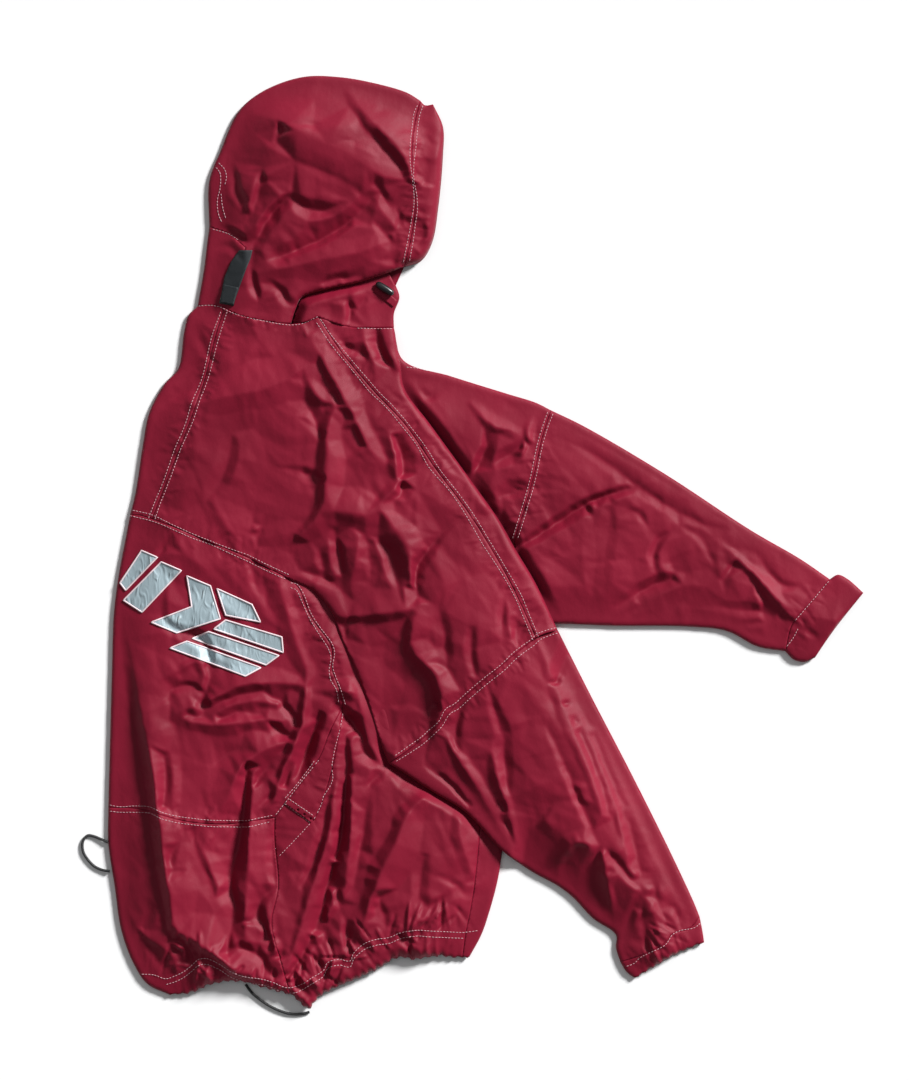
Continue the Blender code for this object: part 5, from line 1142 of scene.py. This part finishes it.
def make_shell(name, top, top_height, bottom, bottom_height, folds, floor_step):
    """A cut piece: its upper side, and a floor side joined to it along its folds."""
    loop, kinds = inset_loop(top, folds)
    plan, faces = fill(loop, GRID)
    points = np.column_stack([plan, top_height(plan)])
    if bottom:
        loop_b, kinds_b = inset_loop(bottom, folds)
        kinds_in = [i for i in range(len(kinds)) if kinds[i] in folds or kinds[i - 1] in folds]
        shared = {}
        for i in range(len(kinds_b)):
            if kinds_b[i] in folds or kinds_b[i - 1] in folds:
                gaps = np.linalg.norm(loop[kinds_in] - loop_b[i], axis=1)
                shared[i] = kinds_in[int(gaps.argmin())]
                loop_b[i] = loop[shared[i]]
        plan_b, faces_b = fill(loop_b, floor_step)
        lift = FOLD_MIDDLE * (1.0 - quarter_round(distance_to(folds, plan_b) / FLOOR_RADIUS))
        height_b = bottom_height(plan_b) + lift
        index = np.zeros(len(plan_b), int)
        fresh = [i for i in range(len(plan_b)) if i not in shared]
        index[fresh] = np.arange(len(fresh)) + len(points)
        for i, j in shared.items():
            index[i] = j
        points = np.vstack([points, np.column_stack([plan_b, height_b])[fresh]])
        faces = np.vstack([faces, index[faces_b][:, ::-1]])
    shell_points, shell_faces = thicken(points, faces, FABRIC)
    obj = make_object(name + "_cloth", shell_points, shell_faces, NYLON)
    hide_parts(name)
    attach(obj, "root")
    # The rectangle round the upper side, its second side doubled for a floor side, and grown
    # where the area needs it. It isn't the unfolded cut; the area is the mesh's own.
    width, depth = smallest_rectangle(loop)
    if bottom:
        depth *= 2.0
    add_tree(points, faces)


TREES = []
NYLON = nylon_material()


# ---- the garment ----------------------------------------------------------
SLEEVE_RIGHT = ["armhole_right_tail", "sleeve_right_outer", "sleeve_right_cuff", "sleeve_right_inner",
                "-armhole_right"]
CUFF_RIGHT = ["cuff_right_outer", "cuff_right_mouth", "cuff_right_inner", "-sleeve_right_cuff"]
SLEEVE_LEFT = ["sleeve_left_outer", "sleeve_left_cuff", "sleeve_left_inner", "-far_armhole"]
CUFF_LEFT = ["cuff_left_outer", "cuff_left_mouth", "cuff_left_inner", "-sleeve_left_cuff"]
HOOD_REAR = ["hood_rear_edge", "hood_seam_rear", "hood_seam_strap", "-neck_rear_left"]
HOOD_BRIM = ["brim_seam", "brim_crown", "brim_mouth"]

PIECES = [
    # name, upper outline, upper height, floor outline, floor height, folds, floor grid
    ("yoke_back_right",
     ["neck_rear_right", "neck_side", "shoulder_seam", "armhole_right", "flap_side", "-yoke_right",
      "-centre_back"],
     yoke_top, [], None, [], 0),
    ("shoulder_front_right",
     ["neck_front", "flap_front", "-armhole_right_tail", "-shoulder_seam"],
     yoke_top, [], None, [], 0),
    ("yoke_back_left",
     ["centre_back", "-yoke_left", "-back_fold_top", "neck_rear_left"],
     yoke_top,
     ["floor_yoke", "floor_yoke_front", "-shoulder_seam", "-neck_side", "-neck_rear_right",
      "-neck_rear_left", "back_fold_top"],
     floor, ["back_fold_top"], FLOOR_GRID),
    ("back_middle",
     ["yoke_left", "yoke_right", "side_seam", "-pocket_back", "pocket_tail", "-lower_back",
      "-back_fold_middle"],
     body_top, ["floor_yoke", "floor_side", "-floor_lower_back", "-back_fold_middle"],
     floor, ["back_fold_middle"], FLOOR_GRID),
    ("back_lower",
     ["lower_back", "side_low", "-hem_back", "-back_fold_low"],
     body_top, ["floor_lower_back", "floor_side_low", "-hem_back", "-back_fold_low"],
     floor, ["back_fold_low"], FLOOR_GRID),
    ("front_right",
     ["side_seam", "pocket_front", "pocket_end", "pocket_tail", "side_low", "hem_front", "front_seam",
      "front_hidden_top"],
     body_top, [], None, [], 0),
    ("front_left",
     ["hem_centre", "front_fold", "front_strip_top", "-front_seam"],
     body_top,
     ["hem_front", "hem_centre", "front_fold", "floor_underarm", "-floor_yoke_front", "floor_side",
      "floor_side_low"],
     floor, ["front_fold"], FLOOR_GRID),
    ("pocket_facing", ["pocket_front", "pocket_end", "pocket_back"],
     body_top, [], None, [], 0),
    ("shoulder_front_left",
     ["far_shoulder", "far_armhole", "far_hidden_body"],
     far_top, ["far_shoulder", "far_armhole", "far_corner", "-shoulder_seam", "neck_front"],
     floor, ["far_shoulder"], FLOOR_GRID),
    ("sleeve_right", SLEEVE_RIGHT, near_sleeve_top, SLEEVE_RIGHT, sleeve_rest,
     ["sleeve_right_outer", "sleeve_right_inner"], GRID),
    ("cuff_right", CUFF_RIGHT, near_sleeve_top, CUFF_RIGHT, sleeve_rest,
     ["cuff_right_outer", "cuff_right_inner"], FLOOR_GRID),
    ("sleeve_left", SLEEVE_LEFT, far_top, SLEEVE_LEFT, floor,
     ["sleeve_left_outer", "sleeve_left_inner"], FLOOR_GRID),
    ("cuff_left", CUFF_LEFT, far_top, CUFF_LEFT, floor,
     ["cuff_left_outer", "cuff_left_inner"], FLOOR_GRID),
    ("hood_main",
     ["neck_rear_right", "hood_roll", "brim_seam", "-hood_crown", "hood_seam_rear", "hood_seam_strap"],
     hood_top,
     ["neck_rear_right", "-floor_collar", "-floor_hood_low", "brim_seam", "-hood_crown",
      "hood_seam_rear", "hood_seam_strap"],
     floor, ["hood_crown"], FLOOR_GRID),
    ("hood_brim", HOOD_BRIM, hood_top, HOOD_BRIM, floor, ["brim_crown"], FLOOR_GRID),
    ("hood_rear", HOOD_REAR, hood_top, HOOD_REAR, floor, ["hood_rear_edge"], FLOOR_GRID),
    ("collar",
     ["neck_side", "neck_front", "-collar_front", "-collar_hidden", "-collar_root"],
     collar_top, ["neck_side", "neck_front", "-collar_front", "floor_collar"],
     floor, ["collar_front"], FLOOR_GRID),
]


# ---- sewing -----------------------------------------------------------------
STITCH, STITCH_GAP = 2.5, 1.0  # length of a stitch, and of the space after it
STITCH_RISE = 0.28            # how far its middle stands up
STITCH_END = 0.55             # its thickness at the ends, against the middle
THREAD = 0.38                 # radius of the thread
THREAD_SIDES = 6

# where to look for cloth when a place falls in a seam's gap
NEARBY = [(0.0, 0.0), (0.4, 0.0), (-0.4, 0.0), (0.0, 0.4), (0.0, -0.4)]


def surface_at(x, y):
    """Height and normal of the highest cloth at a place; beside it where that is a seam's gap."""
    for dx, dy in NEARBY:
        best = None
        for tree in TREES:
            place, normal, _, _ = tree.ray_cast(Vector((x + dx, y + dy, 200.0)), Vector((0.0, 0.0, -1.0)))
            if place and (best is None or place.z > best[0]):
                best = (place.z, normal)
        if best:
            return best
    return None


def thread_body(path, radii, sides):
    """A closed tube along a few points."""
    path = np.array(path)
    along = np.gradient(path, axis=0)
    along /= np.linalg.norm(along, axis=1)[:, None]
    across = np.cross(along, (0.0, 0.0, 1.0))
    across /= np.maximum(np.linalg.norm(across, axis=1), 1e-9)[:, None]
    up = np.cross(across, along)
    turns = np.arange(sides) * 2.0 * math.pi / sides
    rings = [p + r * (np.cos(turns)[:, None] * s + np.sin(turns)[:, None] * t)
             for p, r, s, t in zip(path, radii, across, up)]
    points = np.vstack([path[:1] - along[:1] * radii[0] * 0.6, *rings,
                        path[-1:] + along[-1:] * radii[-1] * 0.6])
    j = np.arange(sides)
    k = (j + 1) % sides
    faces = [np.column_stack([np.zeros(sides, int), 1 + j, 1 + k])]
    for i in range(len(path) - 1):
        a, b = 1 + i * sides + j, 1 + i * sides + k
        faces += [np.column_stack([a, a + sides, b]), np.column_stack([b, a + sides, b + sides])]
    last = len(points) - 1
    faces.append(np.column_stack([np.full(sides, last), last - sides + k, last - sides + j]))
    return points, np.vstack(faces)


def join(bodies):
    points, faces, shift = [], [], 0
    for p, f in bodies:
        points.append(p)
        faces.append(f + shift)
        shift += len(p)
    return np.vstack(points), np.vstack(faces)


def sew(name, rows, rng):
    bodies = []
    for row in rows:
        line = np.array(curve_through(ROWS[row], 1.0))
        along = np.concatenate([[0.0], np.cumsum(np.linalg.norm(np.diff(line, axis=0), axis=1))])
        at = 0.6
        while at + STITCH < along[-1]:
            spots = at + np.array([0.0, 0.5, 1.0]) * STITCH * rng.uniform(0.92, 1.06)
            path = []
            for s in spots:
                x = np.interp(s, along, line[:, 0]) + rng.normal(0.0, 0.05)
                y = np.interp(s, along, line[:, 1]) + rng.normal(0.0, 0.05)
                hit = surface_at(x, y)
                if hit:
                    path.append((x, y, hit[0]))
            if len(path) == 3:
                path[1] = (path[1][0], path[1][1], path[1][2] + STITCH_RISE)
                radius = THREAD * rng.uniform(0.9, 1.1)
                ends = radius * STITCH_END
                bodies.append(thread_body(path, (ends, radius, ends), THREAD_SIDES))
            at += STITCH + STITCH_GAP * rng.uniform(0.8, 1.25)
    points, faces = join(bodies)
    obj = make_object(name, points, faces, THREAD_MATERIAL)
    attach(obj, "root")
    return obj


def thread_material():
    material, nodes, links, shader = new_material("thread_pale_pink", (0.74, 0.52, 0.56), 0.55)
    twist = add_node(nodes, "ShaderNodeTexNoise", Scale=1.0, Detail=2.0)
    links.new(place_of(nodes, links, (900.0, 900.0, 900.0)), twist.inputs["Vector"])
    ramp_from(nodes, links, twist.outputs["Fac"], shader, 0.0, (0.42, 0.18, 0.22),
              1.0, (0.78, 0.52, 0.56))
    return material


THREAD_MATERIAL = thread_material()


# ---- trims ------------------------------------------------------------------
def silver_material():
    material, nodes, links, shader = new_material("applique_silver_film", (0.70, 0.78, 0.80), 0.5,
                                                  metallic=0.10)
    crumple_and_painted_glints = add_node(nodes, "ShaderNodeTexNoise", noise_type="RIDGED_MULTIFRACTAL", Scale=1.0, Detail=3.0,
                       Distortion=1.2)
    links.new(place_of(nodes, links, (120.0, 48.0, 90.0), -0.9), crumple_and_painted_glints.inputs["Vector"])
    # Painted reflections and shade: the film is coloured lighter on the crumple's ridges and darker between
    # them, the same pattern that gives its bump.
    ramp_from(nodes, links, crumple_and_painted_glints.outputs["Fac"], shader, 0.35, (0.34, 0.43, 0.47),
              0.75, (0.78, 0.86, 0.88))
    bump_from(nodes, links, crumple_and_painted_glints.outputs["Fac"], shader, 1.0, 0.0018)
    return material


def webbing_material():
    material, nodes, links, shader = new_material("webbing_black_ribbed", (0.012, 0.016, 0.019), 0.62)
    ribs = add_node(nodes, "ShaderNodeTexWave", Scale=1.0, wave_type="BANDS", bands_direction="Y")
    links.new(place_of(nodes, links, (300.0, 300.0, 300.0), -0.25), ribs.inputs["Vector"])
    bump_from(nodes, links, ribs.outputs["Fac"], shader, 0.6, 0.0003)
    return material


def plastic_material():
    material, nodes, links, shader = new_material("plastic_black_moulded", (0.010, 0.010, 0.011), 0.30)
    grain = add_node(nodes, "ShaderNodeTexNoise", Scale=1.0, Detail=2.0)
    links.new(place_of(nodes, links, (1500.0, 1500.0, 1500.0)), grain.inputs["Vector"])
    bump_from(nodes, links, grain.outputs["Fac"], shader, 0.2, 0.0001)
    return material


def laid_on(outline, step, gap, thick):
    """A flat trim piece that follows the cloth beneath it."""
    edge = []
    for a, b in zip(outline, outline[1:] + outline[:1]):
        a, b = np.array(a, float), np.array(b, float)
        count = max(1, round(np.linalg.norm(b - a) / step))
        edge.extend(a + (b - a) * i / count for i in range(count))
    loop = np.array(edge)
    area = np.sum(loop[:, 0] * np.roll(loop[:, 1], -1) - loop[:, 1] * np.roll(loop[:, 0], -1))
    if area < 0:
        loop = loop[::-1]
    plan, faces = fill(loop, step)
    z = np.array([surface_at(x, y)[0] for x, y in plan]) + gap + thick
    return np.column_stack([plan, z]), faces, loop


def edging(loop, lift, radius, sides=8):
    """A satin-stitched border round an outline, as a closed ring."""
    loop = np.array(loop)
    path = np.column_stack([loop, [surface_at(x, y)[0] + lift for x, y in loop]])
    along = np.roll(path, -1, axis=0) - np.roll(path, 1, axis=0)
    along /= np.linalg.norm(along, axis=1)[:, None]
    across = np.cross(along, (0.0, 0.0, 1.0))
    across /= np.linalg.norm(across, axis=1)[:, None]
    up = np.cross(across, along)
    turns = np.arange(sides) * 2.0 * math.pi / sides
    points = np.vstack([p + radius * (1.25 * np.cos(turns)[:, None] * s + 0.8 * np.sin(turns)[:, None] * t)
                        for p, s, t in zip(path, across, up)])
    count = len(path)
    faces = []
    j = np.arange(sides)
    k = (j + 1) % sides
    for i in range(count):
        a, b = i * sides + j, i * sides + k
        c, d = (i + 1) % count * sides + j, (i + 1) % count * sides + k
        faces += [np.column_stack([a, c, b]), np.column_stack([b, c, d])]
    return points, np.vstack(faces)


def finish_trim(obj, node):
    if node:
        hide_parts(node)
    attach(obj, "root")
    return obj


# ---- camera, floor and light ------------------------------------------------
CAMERA_HEIGHT = 6.0           # metres
PICTURE_HEIGHT = 1.188        # metres of floor from the top of the picture to its bottom


def make_camera():
    """Straight above, over the middle of the picture, with a long lens."""
    data = bpy.data.cameras.new("camera")
    data.lens = data.sensor_width * CAMERA_HEIGHT / PICTURE_HEIGHT
    camera = bpy.data.objects.new("camera", data)
    camera.location = (-0.0319, 0.0011, CAMERA_HEIGHT)
    bpy.context.scene.collection.objects.link(camera)
    bpy.context.scene.camera = camera


FLOOR_HALF, FLOOR_LEVEL = 9000.0, -0.4


def make_stage():
    material, _, _, _ = new_material("floor_white", (0.92, 0.92, 0.92), 0.85)
    points = np.array([(x * FLOOR_HALF, y * FLOOR_HALF, FLOOR_LEVEL)
                       for x, y in ((-1.0, -1.0), (1.0, -1.0), (1.0, 1.0), (-1.0, 1.0))])
    base = make_object("floor", points, np.array([(0, 1, 2), (0, 2, 3)]), material)


def make_light(name, toward, spread, strength):
    """A far soft lamp: its direction, the angle it fills and its strength."""
    data = bpy.data.lights.new(name, "SUN")
    data.angle = math.radians(spread)
    data.energy = strength
    lamp = bpy.data.objects.new(name, data)
    lamp.location = toward
    lamp.rotation_euler = Vector(toward).to_track_quat("Z", "Y").to_euler()
    bpy.context.scene.collection.objects.link(lamp)


def make_world():
    world = bpy.data.worlds.new("studio")
    world.use_nodes = True
    background = world.node_tree.nodes["Background"]
    background.inputs["Color"].default_value = (0.96, 0.98, 1.0, 1.0)
    background.inputs["Strength"].default_value = 0.17
    bpy.context.scene.world = world


# ---- cords ------------------------------------------------------------------
CORDS = {
    "hem_cord_left": [(-413.6, -331, 3.4), (-421, -328, 2.2), (-430, -324.5, 1.5), (-436, -324, 1.5),
                      (-441, -330, 1.5), (-441, -341, 1.5), (-436, -350, 1.5), (-428, -358, 1.5),
                      (-419, -362, 2.0), (-411.6, -363, 3.2)],
    "hem_cord_bottom": [(-262, -487.5, 2.6), (-256, -496, 1.8), (-248, -503, 1.5), (-238, -510, 1.5),
                        (-226, -516, 1.5), (-213, -520, 1.5), (-200, -520, 1.5), (-192, -518, 1.5)],
}


def make_cord(name, route, material):
    points = [Vector(p) for p in curve_through(route, 2.0)]
    curve = bpy.data.curves.new(name + "_drawcord", "CURVE")
    curve.dimensions = "3D"
    curve.bevel_depth = CORD_RADIUS * MM
    curve.bevel_resolution = 3
    curve.use_fill_caps = True
    spline = curve.splines.new("POLY")
    spline.points.add(len(points) - 1)
    for point, place in zip(spline.points, points):
        point.co = (*(place * MM), 1.0)
    curve.materials.append(material)
    obj = bpy.data.objects.new(name + "_drawcord", curve)
    bpy.context.scene.collection.objects.link(obj)
    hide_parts(name)
    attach(obj, "root")
    length = sum((b - a).length for a, b in zip(points, points[1:])) * MM
    return length


def cord_material():
    material, nodes, links, shader = new_material("cord_black_braid", (0.012, 0.012, 0.013), 0.6)
    braid = add_node(nodes, "ShaderNodeTexWave", Scale=1.0, wave_type="BANDS", bands_direction="DIAGONAL")
    links.new(place_of(nodes, links, (420.0, 420.0, 420.0)), braid.inputs["Vector"])
    bump_from(nodes, links, braid.outputs["Fac"], shader, 0.6, 0.0003)
    return material


# ---- appliques, strap, welt, cord lock --------------------------------------
APPLIQUE_ORIGIN = (-380, -22)
APPLIQUE_TURN = -23.0
APPLIQUE = [
    # name, then corners as (along, up) from the origin
    ("applique_bar_1", [(-1, 12), (18, 12), (0, -35), (-9, -30)]),
    ("applique_bar_2", [(24, 9), (48, 9), (26, -50), (2, -46)]),
    ("applique_chevron", [(56, 6), (84, 6), (108, -23), (70, -56), (40, -56), (74, -23)]),
    ("applique_kite", [(92, 6), (134, 5), (150, -9), (112, -17)]),
    ("applique_stripe_1", [(114, -22), (178, -15), (186, -30), (106, -36)]),
    ("applique_stripe_2", [(102, -41), (183, -35), (174, -50), (88, -55)]),
    ("applique_stripe_3", [(84, -60), (170, -55), (158, -70), (70, -74)]),
]
STRAP_OUTLINE = [(-291, 261), (-288, 274), (-285, 290), (-278, 306), (-269, 319), (-254, 319),
                 (-256, 310), (-262, 296), (-268, 280), (-273, 266), (-275, 258)]
STRAP_END_OUTLINE = [(-290, 262), (-288, 274), (-287, 282), (-270, 278), (-273, 266), (-275, 259)]
WELT_OUTLINE = [(-215, -282), (-186, -302), (-190, -309), (-219, -288)]
LOCK_TAB_OUTLINE = [(-121, 274), (-116, 281), (-95, 264), (-100, 257)]
LOCK_PLACE = (-109, 277)
LOCK_TURN = -33.0
LOCK_LENGTH, LOCK_RADIUS = 22.0, 4.2
LOCK_GAP = 0.2                # between the lock and the cloth
TRIM_GAP = 0.3                # between a trim and the cloth
FILM_STEP, FILM_THICK = 1.5, 0.5
WEBBING_STEP, WEBBING_THICK = 1.6, 1.3
TAB_STEP, TAB_THICK = 1.4, 0.9
BORDER_LIFT, BORDER_RADIUS = 1.0, 0.7


def lay_piece(name, outline, step, thick, material, node, carries=False):
    """A trim laid on what is beneath it; one that carries is found by what is laid later."""
    points, faces, loop = laid_on(outline, step, TRIM_GAP, thick)
    points, faces = thicken(points, faces, thick)
    finish_trim(make_object(name, points, faces, material), node)
    if carries:
        add_tree(points, faces)
    return loop


def make_appliques():
    silver = silver_material()
    border, _, _, _ = new_material("applique_border_thread", (0.80, 0.66, 0.69), 0.6)
    c, s = math.cos(math.radians(APPLIQUE_TURN)), math.sin(math.radians(APPLIQUE_TURN))
    rings = []
    for name, corners in APPLIQUE:
        outline = [(APPLIQUE_ORIGIN[0] + u * c - v * s, APPLIQUE_ORIGIN[1] + u * s + v * c)
                   for u, v in corners]
        loop = lay_piece(name + "_film", outline, FILM_STEP, FILM_THICK, silver, name)
        rings.append(edging(loop, BORDER_LIFT, BORDER_RADIUS))
    points, faces = join(rings)
    finish_trim(make_object("applique_borders", points, faces, border), None)


def make_lock():
    rings, sides = 24, 32
    z = surface_at(*LOCK_PLACE)[0] + LOCK_RADIUS + LOCK_GAP
    turn = math.radians(LOCK_TURN)
    path, radii = [], []
    for i in range(rings):
        along = -LOCK_LENGTH / 2 * math.cos(math.pi * (i + 0.5) / rings)
        path.append((LOCK_PLACE[0] + along * math.cos(turn), LOCK_PLACE[1] + along * math.sin(turn), z))
        radii.append(LOCK_RADIUS * math.sin(math.pi * (i + 0.5) / rings) ** 0.4)
    points, faces = thread_body(path, radii, sides)
    barrel = make_object("cord_lock_barrel", points, faces, plastic_material())
    finish_trim(barrel, "cord_lock")


def make_trims():
    make_appliques()
    webbing = webbing_material()
    lay_piece("hood_strap_webbing", STRAP_OUTLINE, WEBBING_STEP, WEBBING_THICK, webbing,
              "hood_strap", carries=True)
    lay_piece("hood_strap_end_webbing", STRAP_END_OUTLINE, WEBBING_STEP, WEBBING_THICK, webbing,
              None)
    for node, outline in (("pocket_welt", WELT_OUTLINE), ("cord_lock_tab", LOCK_TAB_OUTLINE)):
        lay_piece(node + "_cloth", outline, TAB_STEP, TAB_THICK, NYLON, node, carries=True)
    make_lock()


# ---- everything -------------------------------------------------------------
make_camera()
CORD_MATERIAL = cord_material()
cord_lengths = {name: make_cord(name, route, CORD_MATERIAL) for name, route in CORDS.items()}
for piece in PIECES:
    make_shell(*piece)
make_trims()
sew("stitches", list(ROWS), np.random.default_rng(7))
make_stage()
make_world()
make_light("key", (1.7, 1.5, 1.2), 13.0, 5.9)
make_light("fill", (-0.8, 0.9, 2.4), 60.0, 0.25)
bpy.context.scene.view_settings.view_transform = "Standard"
